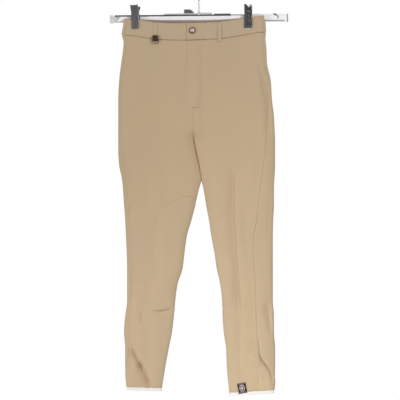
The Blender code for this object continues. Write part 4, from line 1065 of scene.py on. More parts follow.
def sewBand(name, base, roll, node, restsOn, tips=()):      # with ridges along its edges and stiff waves
    xs = base[..., 0]
    _, _, top, foot = edgeDistances(base)
    relief = sum(band[ridge] * hill(*band["ridgeSpan"], distance)
                 for ridge, distance in (("topRidge", top), ("footRidge", foot)))
    relief -= band["stitchDip"] * np.exp(-((top - band["topStitch"]) / 0.7) ** 2)
    across = np.sin(np.pi * top / (top + foot + 1e-6))
    relief += band["wave"] * np.sin(xs / 17.0 + 1.3 * np.sin(xs / 41.0)) * across
    relief += band["ripple"] * np.sin(xs / 6.1 + np.sin(xs / 9.7)) * np.exp(-foot / 6.0)
    outside, normal = sewnCloth(name, base, cut["bandProud"] + relief, cut["bandWall"], roll, "band",
                                "beige_cloth", [node], restsOn, tips=tips)
    _, _, top, foot = edgeDistances(outside)
    return [threadRow(outside, normal, distance, inset, 3)
            for distance, inset in ((top, band["topStitch"]), (foot, band["footStitch"]))]


def buildFrontBand(side):
    downs = edgeSpaced(bandTop, bandBottom, band["rowStep"])
    seamX = sectionAt(side + "Seam", downs)
    xs = edgeSpaced(seamX - outward[side] * band["sideGap"], band["ends"][side], band["columnStep"])
    base = facePoint("front", xs, downs[:, None])
    if side == "left":      # it laps over the right one
        under = band["ends"]["right"] + band["clear"]
        base[..., 1] -= (cut["bandWall"] + band["lift"]) * (1 - smoothStep(under, under + band["ramp"], xs))
    return sewBand(f"frontBand{side.capitalize()}", base, band["frontRoll"], f"waistband_front_{side}",
                   [f"clip_pad_front_{side}"])


def backBandGrid(downs, reach, step):       # from one half's reach over the back to the other's
    right, left = (loopPoint(side, downs[:, None], edgeSpaced(
        reach(side, downs), roundLength(side, downs), step, ends=(True, False))) for side in outward)
    return np.concatenate([right, left[:, -2::-1]], axis=1)


def backStart(side, down):
    return seamReach(side, down) + band["sideGap"]


def facingStart(side, down):
    return faceWidth(side, "front", down) + band["facingPast"]


def buildBackBand():
    base = backBandGrid(edgeSpaced(bandTop, bandBottom, band["rowStep"]), backStart, band["columnStep"])
    return sewBand("backBand", base, band["backRoll"], "waistband_back",
                   ["clip_pad_back_right", "clip_pad_back_left"], tips=(-1, 1))


def buildFacing():
    base = backBandGrid(edgeSpaced(bandTop + 0.2, bandBottom - band["facingShort"], 3.0), facingStart, 2.6)
    sewnCloth("bandFacing", base, cut["bandProud"] - cut["bandWall"] - cut["seamGap"], band["facingWall"],
              band["facingRoll"], "facing", "facing_cloth", ["waistband_facing"], ["backBand"])


threads["band"] = buildFrontBand("right") + buildFrontBand("left") + buildBackBand()
buildFacing()
print("waistband made")

# places: node, face, x, how far its foot is below the waist seam, fullness
loop = {"width": 10.0, "wall": 0.5, "roll": 0.24, "bow": 0.5, "lift": 0.06, "hem": 0.144,
        "places": (("belt_loop_front_right", "front", -113.5, -7.5, 0.9),
                   ("belt_loop_front_left", "front", 53.0, 9.0, 2.0),
                   ("belt_loop_back_right", "back", -112.0, 9.0, 2.0),
                   ("belt_loop_back_centre", "back", -16.0, 9.0, 2.0),
                   ("belt_loop_back_left", "back", 84.0, 9.0, 2.0))}


def buildLoop(node, face, x, tail, fullness):
    downs = edgeSpaced(bandTop + 0.5, cut["waistSeam"] + tail, 1.6)
    across = edgeSpaced(-loop["width"] / 2, loop["width"] / 2, 1.0)
    base = facePoint(face, x + across, downs[:, None])
    along = (downs - downs[0]) / (downs[-1] - downs[0])
    bow = fullness * loop["bow"] * np.sin(np.pi * np.clip(along, 0.001, 0.999)) ** 0.5
    hem = loop["hem"] * np.cos(2 * np.pi * across / loop["width"])
    outside = base.copy()
    outside[..., 1] += ((cut["bandProud"] + loop["lift"] + loop["wall"] + bow[:, None] - hem)
                        * (-1 if face == "front" else 1))
    normal = gridNormals(outside)
    name = "beltLoop" + "".join(word.capitalize() for word in node.split("_")[2:])
    obj = clothShell(name, outside, normal, loop["wall"], loop["roll"])
    finished(obj, "band", "beige_cloth", node)
    declareCloth(obj, base, "backBand" if face == "back" else "frontBandLeft" if x > 0 else "frontBandRight")
    return [(outside[row, 2:-2] + [0, 0, shift], normal[row, 2:-2])
            for row in (3, -4) for shift in (-0.55, 0.0, 0.55)]


threads["loops"] = [row for place in loop["places"] for row in buildLoop(*place)]

tape = {"rows": (0, 0.3, 0.7, 1.3, 2.2, 3.6, 5.0, 6.3, 7.3, 7.8, 8.1, 8.3), "columnStep": 0.42, "roll": 0.55,
        "ribs": 1.55, "rib": 0.17, "wave": 0.28, "wavePhase": {"right": 4, "left": 1}, "sink": 0.05,
        "stitchInsets": (2.2, 4.6)}


def buildTape(side, face):
    rows = cut["clothHem"] + cut["seamGap"] + np.array(tape["rows"])
    front, whole = faceWidth(side, "front", rows), roundLength(side, rows)
    start, end = (0.1 + 0 * front, front - 0.1) if face == "front" else (front + 0.1, whole - 0.1)
    count = int(round((end.mean() - start.mean()) / tape["columnStep"]))
    base = loopPoint(side, rows[:, None], start[:, None] + (end - start)[:, None] * np.linspace(0, 1, count))
    normal = gridNormals(base)
    first, _, top, foot = edgeDistances(base)
    middle = 0.35 + 0.65 * smoothStep(0.6, 1.6, top) * smoothStep(0.4, 1.2, foot)
    relief = tape["rib"] * np.cos(2 * np.pi * first / tape["ribs"]) * middle - tape["sink"]
    relief += tape["wave"] * np.sin(first / 11.0 + tape["wavePhase"][side]) * smoothStep(2, 8, top)
    outside = base + normal * relief[..., None]
    obj = clothShell(f"hemTape{face.capitalize()}{side.capitalize()}", outside, normal,
                     cut["clothWall"], (0, 0, tape["roll"], tape["roll"]))
    finished(obj, "tape", "white_tape", f"hem_tape_{face}_{side}")
    hangsFrom = "backBand" if face == "back" else f"frontBand{side.capitalize()}"
    declareCloth(*panels[side, face], hangsFrom, edging=[obj])


def tapeThread(side, down):
    along = np.linspace(1.0, roundLength(side, down) - 1.0, 260)
    return surfaceFrame(lambda a, b: loopPoint(side, b, a), along, down + 0 * along, 0.05)


for side in outward:
    for face in ("front", "back"):
        buildTape(side, face)
    threads["cuff"] += [tapeThread(side, cut["clothHem"] - inset) for inset in tape["stitchInsets"]]
print("loops and hem tapes made")

label = {"x": 112.0, "down": 1066.0, "width": 22.0, "height": 27.0, "turn": 10.0, "step": 0.9,
         "lift": 0.5, "wall": 0.8, "roll": 0.36, "curl": 0.25,
         "ovals": ((6.3, 8.6, 0.62), (4.9, 7.1, 0.36)),         # half width, half height, wire
         "lozenge": ((0, -4.6), (3.0, 0), (0, 4.6), (-3.0, 0), (0, -4.6)),
         "lozenges": ((1.0, 0.55), (0.52, 0.7)),                # size, wire
         "bars": (-11.2, 11.2), "barHalf": 8.5, "barWire": 0.3, "threadLift": 0.15}


def labelPoint(u, v, lift=0.0):     # u and v in millimetres from the label's middle
    turn = math.radians(label["turn"])
    x = label["x"] + u * math.cos(turn) + v * math.sin(turn)
    down = label["down"] - u * math.sin(turn) + v * math.cos(turn)
    level = down - (trueDown("left", "front", x, cut["clothHem"]) - cut["clothHem"])
    return np.stack([x, clothPoint("left", "front", x, level)[..., 1] - lift, -down], axis=-1)


def buildLabel():
    u, v = np.meshgrid(*(edgeSpaced(-label[key] / 2, label[key] / 2, label["step"])
                         for key in ("width", "height")))
    rise = label["lift"] + label["wall"] + label["curl"] * smoothStep(8, 13.5, np.hypot(u, v * 0.8))
    sewnCloth("hemLabel", labelPoint(u, v), rise, label["wall"], label["roll"], "label", "label_cloth",
              ["hem_label"], ("frontPanelLeft", "hemTapeFrontLeft"))


def buildMotif():               # plain rings of raised thread with a lozenge in them, between two bars
    lift = label["lift"] + label["wall"] + label["threadLift"]
    turn = np.linspace(0, 2 * np.pi, 90)[:-1]
    parts = [sweep(labelPoint(halfU * np.cos(turn), halfV * np.sin(turn), lift), wire, 8, closed=True)
             for halfU, halfV, wire in label["ovals"]]
    for size, wire in label["lozenges"]:
        line = straightLine(np.array(label["lozenge"]) * size, range(5), np.linspace(0, 4, 49)[:-1])
        parts.append(sweep(labelPoint(*line.T, lift), wire, 8, closed=True))
    u = np.linspace(-label["barHalf"], label["barHalf"], 40)
    parts += [sweep(labelPoint(u, v + 0 * u, lift), label["barWire"], 6) for v in label["bars"]]
    finished(newMesh("labelMotif", *joined(parts)), "paleThread", "label_cloth")


buildLabel()
buildMotif()

button = {"x": -17.5, "down": 139.5, "stand": 0.35, "sides": 120, "rows": 73,
          "ropes": 34, "rope": 0.22, "ropeSlant": 2.2, "rimRadius": 7.5, "domeRadius": 6.0,
          "profile": ((0, 3.15), (1.2, 3.13), (2.4, 3.02), (3.6, 2.85), (4.6, 2.55), (5.3, 2.1), (5.7, 1.75),
                      (6.1, 1.7), (6.5, 2.05), (6.9, 2.4), (7.5, 2.55), (8.1, 2.35), (8.5, 1.9), (8.7, 1.4),
                      (8.6, 0.9), (8.2, 0.45), (7.4, 0.15), (4.5, 0.0), (0, 0.0))}


def buildButton():              # domed, with a roped rim
    corners, sides = len(button["profile"]), button["sides"]
    radius, height = straightLine(button["profile"], range(corners),
                                  np.linspace(0, corners - 1, button["rows"])).T[..., None]
    turn = 2 * np.pi * np.arange(sides) / sides
    fromRim = radius - button["rimRadius"]
    rim = np.exp(-(fromRim / 0.8) ** 2) * (height > 1.2)
    rope = button["rope"] * rim * np.cos(button["ropes"] * turn + button["ropeSlant"] * fromRim)
    points = np.stack([radius * np.cos(turn), -height - rope, radius * np.sin(turn)], axis=-1)
    stand = cut["bandProud"] + cut["bandWall"] + band["lift"] + button["stand"]
    points = points + facePoint("front", button["x"], button["down"]) - [0, stand, 0]
    rows = button["rows"] - 2
    lastRow, crown = (rows - 1) * sides, rows * sides
    faces = tubeFaces(rows, sides, capped=False)
    for i in range(sides):
        after = (i + 1) % sides
        faces += [[crown, after, i], [crown + 1, lastRow + i, lastRow + after]]
    points = np.concatenate([points[1:-1].reshape(-1, 3), points[0, :1], points[-1, :1]])
    obj = newMesh("waistButton", points, faces)
    # the dome takes the pale second colour as a painted highlight; the roped rim takes a little, as rubbed
    # metal
    dome = np.clip((button["domeRadius"] - radius) / 2.2, 0, 1) * (height > 1)
    worn = np.repeat((2.4 * dome + 0.25 * rim)[1:-1], sides)
    finished(markEdges(obj, [*worn, 2.4, 0.0]), "bronze", "antique_metal", "waist_button")


keeper = {"x": -113.5, "down": 162.5, "height": 12.0, "width": 14.5, "stand": 3.3, "wall": 1.5, "roll": 0.6,
          "leaf": 0.9, "pull": 0.35, "rows": 61,
          "fold": ((0.9, 12.0), (0.9, 5.0), (1.35, 3.3), (1.95, 1.6), (2.15, 0.2), (1.85, -1.05),
                   (1.05, -1.88), (0, -2.15))}
ring = {"halfWidth": 8.5, "drop": 9.2, "shoulder": 1.5, "wire": 0.9, "worn": (0.05, 0.38)}
behind = clothPoint("right", "front", keeper["x"], keeper["down"] - keeper["height"] / 3, detail=False)
standOut = cut["bandProud"] + keeper["stand"] + keeper["wall"] / 2 + keeper["leaf"]
ringBar = np.array([keeper["x"], behind[1] - standOut, -keeper["down"]])    # the ring's straight side


def buildKeeper():
    fold = np.array([*keeper["fold"], *((-y, z) for y, z in keeper["fold"][-2::-1])])
    walked = lineLength(fold)
    y, z = curvedLine(fold, walked, np.linspace(0, 1, keeper["rows"]) * walked[-1]).T[..., None]
    half = keeper["width"] / 2
    xs = edgeSpaced(-half, half, 1.2)
    pull = keeper["pull"] * (1 - np.clip(z / 8, 0, 1)) * (xs / half) ** 2 * np.sign(-xs)
    grid = np.stack([xs + pull, y + 0 * xs, z + 0 * xs], axis=-1)
    normal = np.cross(np.gradient(grid, axis=0), np.gradient(grid, axis=1))
    normal /= np.linalg.norm(normal, axis=2, keepdims=True)
    normal *= np.sign(normal[0, 0, 1]) * np.sign(grid[0, 0, 1])
    outside = grid + normal * keeper["wall"] / 2 + ringBar
    obj = edgeMask(clothShell("leatherKeeper", outside, normal, keeper["wall"], keeper["roll"]))
    finished(obj, "leather", "brown_leather", "leather_tab")
    rows = ((slice(-11, -1), 3), (slice(-11, -1), -4), (-2, slice(3, -3)), (-12, slice(3, -3)))
    return [(outside[row], normal[row]) for row in rows]


def buildRing():
    half, drop, shoulder = ring["halfWidth"], ring["drop"], ring["shoulder"]
    angle = np.radians(np.linspace(0, 180, 49))
    bow = np.column_stack([half * np.sign(np.cos(angle)) * np.abs(np.cos(angle)) ** 0.7,
                           -shoulder - (drop - shoulder) * np.sin(angle) ** 0.8])
    straight = np.column_stack([np.linspace(-half + 0.7, half - 0.7, 18), np.zeros(18)])
    x, z = np.concatenate([straight, [(half - 0.2, -0.2), (half, -0.7)], bow,
                           [(-half, -0.7), (-half + 0.2, -0.2)]]).T
    points, faces = sweep(np.column_stack([x, 0 * x, z]) + ringBar, ring["wire"], 14, closed=True)
    low = np.clip((ringBar[2] - 4 - points[:, 2]) / 5, 0, 1)        # paler towards its bow
    obj = markEdges(newMesh("dRing", points, faces), ring["worn"][0] + ring["worn"][1] * low)
    finished(obj, "bronze", "antique_metal", "d_ring", body=ringBody)


buildButton()
threads["keeper"] = buildKeeper()
buildRing()
stitchPiece("bandStitches", threads["band"])
stitchPiece("loopStitches", threads["loops"], length=1.5, pitch=1.0, radius=0.2)
stitchPiece("flyStitches", threads["fly"])
stitchPiece("flyTack", flyTack(), length=1.8, pitch=1.1, radius=0.2)
stitchPiece("kneeStitches", threads["knee"])
stitchPiece("cuffStitches", threads["cuff"])
stitchPiece("keeperStitches", threads["keeper"], "leather", "brown_leather",
            length=1.5, pitch=2.0, radius=0.22)
print("button, keeper, ring and stitches made")

hanger = {"length": 446.0, "depth": 7.0, "height": 18.0, "middle": 105.0, "tilt": 0.5, "wave": 0.05,
          "capDepth": 9.0, "capHeight": 21.0, "capCorner": 2.6,
          "outline": ((-1.3, 9.0), (-1.6, 8.7), (-1.7, 6.6), (-1.9, 6.2), (-2.9, 6.1), (-3.3, 5.7),
                      (-3.45, 4.0), (-3.5, 1.0), (-3.5, -2.0), (-3.45, -4.0), (-3.3, -5.2), (-2.9, -5.5),
                      (-2.5, -5.7), (-2.4, -7.9), (-2.1, -8.6), (-1.4, -9.0), (1.8, -9.0), (2.8, -8.6),
                      (3.3, -7.8), (3.5, -6.0), (3.5, 6.0), (3.3, 7.8), (2.8, 8.6), (1.8, 9.0))}
halfBar, barTop = hanger["length"] / 2, hanger["height"] / 2

# painted shade along the bar's edges: a dark strip on its top that turns grey and then bar white, and grey
# strips along its foot: first and last x, finish, outline
rails = {
    "paintedTopShade": (-halfBar + 4.0, 83.0, "darkRail", (
        (-3.1, 6.9), (-3.3, 7.1), (-3.3, 9.7), (-3.0, 10.1), (-1.0, 10.1), (-1.0, 9.05), (-1.75, 9.0),
        (-1.75, 6.9))),
    "paintedTopShadeThin": (83.4, 122.0, "rail", (
        (-3.0, 7.9), (-3.1, 8.0), (-3.1, 9.5), (-3.0, 9.7), (-1.0, 9.7), (-1.0, 9.05), (-1.75, 9.0),
        (-1.75, 7.9))),
    "topRailEnd": (122.6, halfBar - 0.3, "bar", (
        (-1.7, 6.7), (-3.2, 6.9), (-3.4, 7.6), (-3.4, 10.6), (-3.0, 11.1), (2.0, 11.1), (2.4, 10.6),
        (2.4, 9.05), (-1.7, 9.0))),
    "paintedFootShade": (-halfBar + 3.0, 160.0, "lightRail", (
        (-3.2, -5.9), (-3.35, -6.1), (-3.2, -8.3), (-2.9, -8.6), (-2.45, -8.4), (-2.55, -5.9))),
    "paintedFootShadeEnd": (160.2, halfBar - 0.5, "midRail", (
        (-3.2, -5.9), (-3.4, -6.1), (-3.3, -9.0), (-2.9, -9.4), (-2.3, -9.2), (-2.45, -5.9))),
}
# dark lines where the caps' tongues lock, painted shade of the notches there: wire, finish, lines of (x, z)
endMarks = {
    "right": (0.6, "rail", ((-215.3, -100.6), (-209.8, -105.0), (-215.3, -111.5)),
              ((-209.8, -105.0), (-206.2, -101.4))),
    "left": (0.95, "darkRail",
             ((193.4, -92.4), (199.0, -93.0), (203.0, -96.4), (206.0, -101.5), (205.4, -105.0)),
             ((194.5, -93.6), (198.0, -94.6), (201.5, -95.6))),
    "front": -4.25,
}


def onBar(points):          # from the bar's own middle to its place and tilt
    tilt = np.array(Matrix.Rotation(math.radians(-hanger["tilt"]), 3, "Y"))
    return np.asarray(points, float) @ tilt.T + [0, 0, -hanger["middle"]]


def buildEndMarks(side):
    wire, finish, *lines = endMarks[side]
    parts = []
    for line in lines:
        x, z = straightLine(line, range(len(line)), np.linspace(0, len(line) - 1, 8 * len(line))).T
        parts.append(sweep(np.column_stack([x, 0 * x + endMarks["front"], z]), wire, 8))
    hardPiece(f"endMark{side.capitalize()}", *joined(parts), finish, "silver_bar", flat=None)


def buildBar():
    xs = np.concatenate([[-halfBar, 0.4 - halfBar], np.linspace(2 - halfBar, halfBar - 2, 90),
                         [halfBar - 0.4, halfBar]])
    points, faces = extruded(hanger["outline"], xs)
    points[:, 1] -= hanger["wave"] * np.sin(points[:, 0] / 31.0) * (points[:, 1] < -3)
    hardPiece("hangerBar", onBar(points), faces, "bar", "silver_bar", "hanger_bar", flat=40)


def buildRails():
    for name, (first, last, finish, outline) in rails.items():
        points, faces = extruded(outline, np.linspace(first, last, 60))
        hardPiece(name, onBar(points), faces, finish, "silver_bar")


# stations are (x past the bar's end, size); the tongue laps over the bar's end and has a notch
caps = {"right": {"finish": "cap", "tongue": 13.0,
                  "stations": ((0, 0.93), (0.5, 0.975), (1.2, 1.0), (5.5, 1.0), (7.2, 0.975), (8.3, 0.91),
                               (8.8, 0.82), (9.0, 0.7))},
        "left": {"finish": "bar", "tongue": 11.0,
                 "stations": ((0, 0.86), (0.4, 0.9), (5.0, 0.9), (5.4, 0.88)),
                 "rim": ((5.5, 0.95), (5.9, 1.0), (8.2, 1.0), (8.8, 0.95), (9.0, 0.85))},
        "notch": 4.2, "tongueTop": 5.4, "tongueTip": 0.2, "tongueFoot": -5.0, "tongueWall": 0.55}


def buildCap(side):
    sign, cap = outward[side], caps[side]
    outline = roundedOutline(hanger["capDepth"] / 2, hanger["capHeight"] / 2, hanger["capCorner"])
    reach = halfBar + cut["seamGap"]

    def capBlock(stations):
        return extruded(outline, [sign * (reach + x) for x, _ in stations], [size for _, size in stations])
    if "rim" in cap:
        points, faces = capBlock(cap["rim"])
        hardPiece("endCapRim", onBar(points), faces, "midRail", "silver_bar")
    low, tip, high = caps["tongueFoot"], caps["tongueTip"], caps["tongueTop"]
    neck = caps["notch"] - cap["tongue"]
    edge = ((0.1, high), (0.1, low), (neck, low), (-cap["tongue"], tip), (neck, high))
    front = -hanger["depth"] / 2 - 0.05
    tongue = [(sign * (reach + x), y, z)
              for y in (front - caps["tongueWall"], front + 0.02) for x, z in edge]
    points, faces = joined([capBlock(cap["stations"]), (tongue, tubeFaces(2, len(edge)))])
    hardPiece(f"endCap{side.capitalize()}", onBar(points), faces, cap["finish"], "silver_bar",
              f"bar_cap_{side}")


# plates: name, first and last x, height, depth, how far over the bar, how much the end drops, finish
hub = {"plates": (("hubSaddle", -91.0, -2.0, 3.4, 9.8, 1.1, 0.0, "lightRail"),
                  ("hubSocket", -39.0, -13.0, 14.8, 9.0, 0.15, 0.512, "socket"),
                  ("hubBlock", 3.2, 34.0, 6.0, 6.4, 0.15, 0.0, "lightRail"),
                  ("hubArm", 39.0, 83.0, 3.4, 4.0, 0.15, 0.0, "rail")),
       "along": (0, 0.012, 0.04, 0.2, 0.5, 0.72, 0.86, 0.96, 0.988, 1.0),
       "size": (0.9, 0.97, 1, 1, 1, 1, 1, 1, 0.97, 0.9), "corner": 0.28, "dropFrom": 0.68,
       "collar": ((2.3, 0.0), (4.6, 0.0), (4.7, 0.5), (4.5, 3.6), (3.7, 4.3), (3.5, 8.6), (3.2, 9.2),
                  (2.3, 9.3)),
       "collarLift": 0.2, "collarSides": 24}


def turned(profile, sides):     # points round the upright axis from a (radius, z) profile
    turn = 2 * np.pi * np.arange(sides) / sides
    return [(r * math.cos(a), r * math.sin(a), z) for r, z in profile for a in turn]


def buildHub():
    for name, first, last, rise, depth, lift, drop, finish in hub["plates"]:
        length = last - first
        corner = min(rise, depth) * hub["corner"]
        outline = [(y, z + rise / 2) for y, z in roundedOutline(depth / 2, rise / 2, corner, 4)]
        points, faces = extruded(outline, first + np.array(hub["along"]) * length, hub["size"])
        share = np.clip((points[:, 0] - first) / length, 0, 1)
        points[:, 2] *= 1 - drop * np.clip((share - hub["dropFrom"]) / (1 - hub["dropFrom"]), 0, 1)
        points[:, 2] += barTop + lift
        nodes = ["hanger_hub"] if name == "hubSocket" else []
        hardPiece(name, onBar(points), faces, finish, "grey_plastic", *nodes, flat=40)
    collar = [(radius, z + barTop + hub["collarLift"]) for radius, z in hub["collar"]]
    hardPiece("stemCollar", onBar(turned(collar, hub["collarSides"])),
              tubeFaces(len(collar), hub["collarSides"], closed=True), "lightRail", "grey_plastic", flat=40)


hook = {"innerRadius": 18.0, "wire": 2.2, "angles": (-45.0, 205.0), "tip": (1.0, 0.86, 0.5), "steps": 150,
        "stem": ((0, -95.0), (0, -80), (0, -70), (0, -62), (0.6, -52), (3.5, -45), (8.5, -39))}


def buildHook():
    radius = hook["innerRadius"] + hook["wire"]
    angles = np.radians(np.linspace(*hook["angles"], 81))
    crown = np.column_stack([radius * np.cos(angles), radius * np.sin(angles) - hook["innerRadius"]])
    rough = np.concatenate([hook["stem"], crown])
    walked = lineLength(rough)
    x, z = straightLine(rough, walked, np.linspace(0, walked[-1], hook["steps"])).T
    line = np.column_stack([x, 0 * x, z])
    for _ in range(3):
        line[1:-1] = (line[:-2] + 2 * line[1:-1] + line[2:]) / 4
    size = np.full(hook["steps"], hook["wire"])
    size[-3:] *= hook["tip"]
    hardPiece("hangerHook", *sweep(line, size, 20), "steel", "steel_wire", "hanger_hook", flat=50)


for side in outward:
    buildEndMarks(side)
buildBar()
buildRails()
for side in outward:
    buildCap(side)
buildHub()
buildHook()
print("hanger made")

# half: the front leaf's half widths; edge: how far its thumb end drops across it;
# strips: name, first and last x past the leaf's side, first and last distance along it, depth, finish
clip = {
    "right": {"rise": 0.0, "lean": 3.5, "yaw": 0.19, "backFrom": 5.5,
              "front": "greyClip", "back": "darkClip",
              "edge": ((-1, 0), (-0.8, 1.0), (0.8, 1.0), (1, -0.5)), "edgeReach": 8.0,
              "half": (9.2, 9.0, 8.6, 8.2, 7.9, 7.8), "corner": 0.5, "padEnd": 131.3,
              "strips": (("clipStripRight", 0.0, 2.3, 12.0, 41.0, 0.9, "midRail"),
                         ("clipTabRight", 2.1, 5.6, 31.0, 40.0, 0.9, "darkClip"))},
    "left": {"rise": 1.5, "lean": 0.0, "yaw": 0.06, "backFrom": 13.0,
             "front": "darkClip", "back": "darkClip",
             "edge": ((-1, 0), (-0.5, 0.8), (0.22, 9.0), (0.55, 6.5), (1, 6.0)), "edgeReach": 17.0,
             "half": (9.7, 9.6, 9.5, 9.5, 9.6, 9.4), "corner": 2.0, "padEnd": 134.2,
             "strips": (("clipStripLeft", 0.0, 0.9, 6.0, 43.0, 0.9, "steel"),
                        ("clipPlateLeft", -7.0, 0.8, 1.2, 12.0, 4.2, "steel"))},
}
# the leaves' lines of (y, down), the back one's half widths, and the spring between them
jaw = {"front": ((-7.0, 70), (-5.6, 77), (-2.4, 89.5), (-5.4, 99), (-6.8, 112), (-6.9, 132.6)),
       "back": ((29.5, 70), (25.5, 77), (17.8, 89.5), (19.3, 104), (18.9, 116), (8.0, 123), (6.9, 131.5)),
       "backHalf": (9.6, 9.2, 7.4, 7.6, 8.2, 8.8, 9.2),
       "wall": 1.4, "flange": 2.6, "lug": 6.0, "lugReach": 6.5, "waist": 89.5, "dish": 0.55,
       "ribs": (3.2, 5.8, 8.4, 11.0), "rib": 0.45, "bevel": 0.00035, "stripWall": 0.7, "stripRoll": 0.25}
barrel = {"radius": 4.4, "length": 15.0, "wire": 0.65, "pin": 1.5, "turns": 7, "down": 91.0,
          "frontLeg": ((-5.5, -2.0, -86.8), (-6.1, -8.5, -81.5), (-6.3, -13.4, -76.5),
                       (-4.3, -14.6, -74.6), (-1.5, -13.4, -76.0), (-0.7, -8.6, -80.5)),
          "backLeg": ((5.5, 3.0, -87.2), (6.5, 8.0, -82.0), (7.9, 13.0, -77.2),
                      (8.1, 15.2, -73.4), (5.3, 15.0, -72.4), (2.9, 12.2, -76.6))}
pad = {"wall": 1.3, "width": 15.0, "top": 117.0, "grooves": 4, "groove": 0.22, "held": 0.45}


def onClip(side, points):       # from upright beside x 0 to the clip's place, lean and turn
    made = np.asarray(points, float).reshape(-1, 3).copy()
    shape = clip[side]
    made[:, 0] += shape["yaw"] * (made[:, 1] - cut["clothPlane"])
    lean = math.radians(-shape["lean"])
    z = made[:, 2] + hanger["middle"]
    x = made[:, 0] * math.cos(lean) + z * math.sin(lean)
    made[:, 2] = -made[:, 0] * math.sin(lean) + z * math.cos(lean) - hanger["middle"] + shape["rise"]
    made[:, 0] = x + cut["clipX"][side]
    return made


def placedOnClip(obj, side):
    points = np.zeros(len(obj.data.vertices) * 3)
    obj.data.vertices.foreach_get("co", points)
    obj.data.vertices.foreach_set("co", (onClip(side, points.reshape(-1, 3) / mm) * mm).ravel())
    return edgeMask(obj)


def leafLine(side, face, at):   # y, down and half width at distances along a leaf
    half = clip[side]["half"] if face == "front" else jaw["backHalf"]
    return curvedLine(np.column_stack([jaw[face], half]), lineLength(jaw[face]), at).T[..., None]


def buildLeaf(side, face):      # a pressed leaf with flanges along both sides and finger ribs
    shape, isFront = clip[side], face == "front"
    length = lineLength(jaw[face])[-1]
    at = edgeSpaced(0.0 if isFront else shape["backFrom"], length, 1.3)
    y, down, half = leafLine(side, face, at)
    at = at[:, None]
    u = np.concatenate([np.full(4, -1.0), np.linspace(-0.94, 0.94, 17), np.full(4, 1.0)])
    bend = np.concatenate([[1.0, 0.7, 0.4, 0.15], np.zeros(17), [0.15, 0.4, 0.7, 1.0]])
    flange = jaw["flange"] * smoothStep(0, 6, at) * (1 - 0.55 * smoothStep(length - 9, length, at))
    if isFront:
        half = half - shape["corner"] * np.clip((at - length + 2.8) / 2.8, 0, 1) ** 2
        flange = flange + jaw["lug"] * np.exp(-((down - jaw["waist"]) / jaw["lugReach"]) ** 2)
        down = down + (1 - smoothStep(0, shape["edgeReach"], at)) * np.interp(u, *np.array(shape["edge"]).T)
    toward = 1 if isFront else -1
    depth = y + toward * (flange * bend + jaw["dish"] * (1 - u**2) * smoothStep(2, 10, at))
    grid = np.stack([half * u, cut["clothPlane"] + depth, -down + 0 * u], axis=-1)
    normal = np.cross(np.gradient(grid, axis=0), np.gradient(grid, axis=1))
    normal /= np.maximum(np.linalg.norm(normal, axis=2, keepdims=True), 1e-9)
    normal *= -np.sign(np.median(normal[:, 12, 1])) * toward
    ribs = jaw["rib"] * sum(np.exp(-((at - rib) / 0.7) ** 2) for rib in jaw["ribs"])
    ribs = ribs * (np.abs(np.arange(len(u)) - 12) < 6)
    outside = grid + normal * (jaw["wall"] / 2 + ribs)[..., None]
    points, faces = closedGrid(outside, grid - normal * jaw["wall"] / 2)
    obj = newMesh(f"clipLeaf{face.capitalize()}{side.capitalize()}", onClip(side, points), faces, flat=55)
    bevel = obj.modifiers.new("rounded", "BEVEL")
    bevel.width, bevel.segments, bevel.limit_method = jaw["bevel"], 2, "ANGLE"
    bevel.angle_limit = math.radians(50)
    finished(edgeMask(obj), shape[face], "grey_plastic", f"clip_{face}_{side}")


def buildClipStrips(side):      # the sprung metal that shows along the front leaf's outer edge, and its stop
    for name, first, last, top, foot, back, finish in clip[side]["strips"]:
        y, down, half = leafLine(side, "front", edgeSpaced(top, foot, 1.6))
        across = edgeSpaced(first, last, 0.7)
        depth = cut["clothPlane"] + y + back + 0.35 * across
        grid = np.stack([half + across, depth, -down + 0 * across], axis=-1)
        normal = gridNormals(grid)
        normal *= -np.sign(np.median(normal[..., 1]))
        obj = clothShell(name, grid, normal, jaw["stripWall"], jaw["stripRoll"])
        finished(placedOnClip(obj, side), finish, "steel_wire")


def buildSpring(side):          # on its pin, with legs up both leaves and loops at their ends
    half, wire = barrel["length"] / 2, barrel["wire"]
    turn = np.linspace(0, 2 * np.pi * barrel["turns"], 24 * barrel["turns"] + 1)
    radius = barrel["radius"] - wire
    coil = np.column_stack([np.linspace(-half + 2.2, half - 2.2, len(turn)), radius * np.cos(turn),
                            -barrel["down"] + radius * np.sin(turn)])
    pin = [(x, 0, -barrel["down"]) for x in (-half - 1.6, 0, half + 1.6)]
    parts = [sweep(coil, wire, 10), sweep(pin, barrel["pin"], 16)]
    for leg in (barrel["frontLeg"], barrel["backLeg"]):
        line = curvedLine(leg, np.arange(len(leg), dtype=float), np.linspace(0, len(leg) - 1, 40))
        parts.append(sweep(line, wire, 10))
    points, faces = joined(parts)
    hardPiece(f"clipSpring{side.capitalize()}", onClip(side, points), faces, "steel", "steel_wire",
              f"clip_barrel_{side}", flat=60)


def buildPad(side, face):       # soft, with cross grooves, rounded at its rim
    sign = -1 if face == "front" else 1
    foot = clip[side]["padEnd"]
    xs = edgeSpaced(-pad["width"] / 2, pad["width"] / 2, 1.1)
    downs = edgeSpaced(pad["top"], foot, 1.0)[:, None]
    groove = pad["groove"] * np.cos(2 * np.pi * (downs - pad["top"]) / (foot - pad["top"]) * pad["grooves"])
    out = cut["pinch"] + cut["bandProud"] + pad["held"] + pad["wall"] - 0.2 - groove
    grid = np.stack(np.broadcast_arrays(xs, cut["clothPlane"] + sign * out, -downs), axis=-1)
    obj = clothShell(f"gripPad{face.capitalize()}{side.capitalize()}", grid, evenNormals(grid, sign),
                     pad["wall"] - 0.15, 0.45, 0.3)
    finished(placedOnClip(obj, side), "pad", "pad_rubber", f"clip_pad_{face}_{side}")


for side in outward:
    for face in ("front", "back"):
        buildLeaf(side, face)
        buildPad(side, face)
    buildClipStrips(side)
    buildSpring(side)
print("clips made")

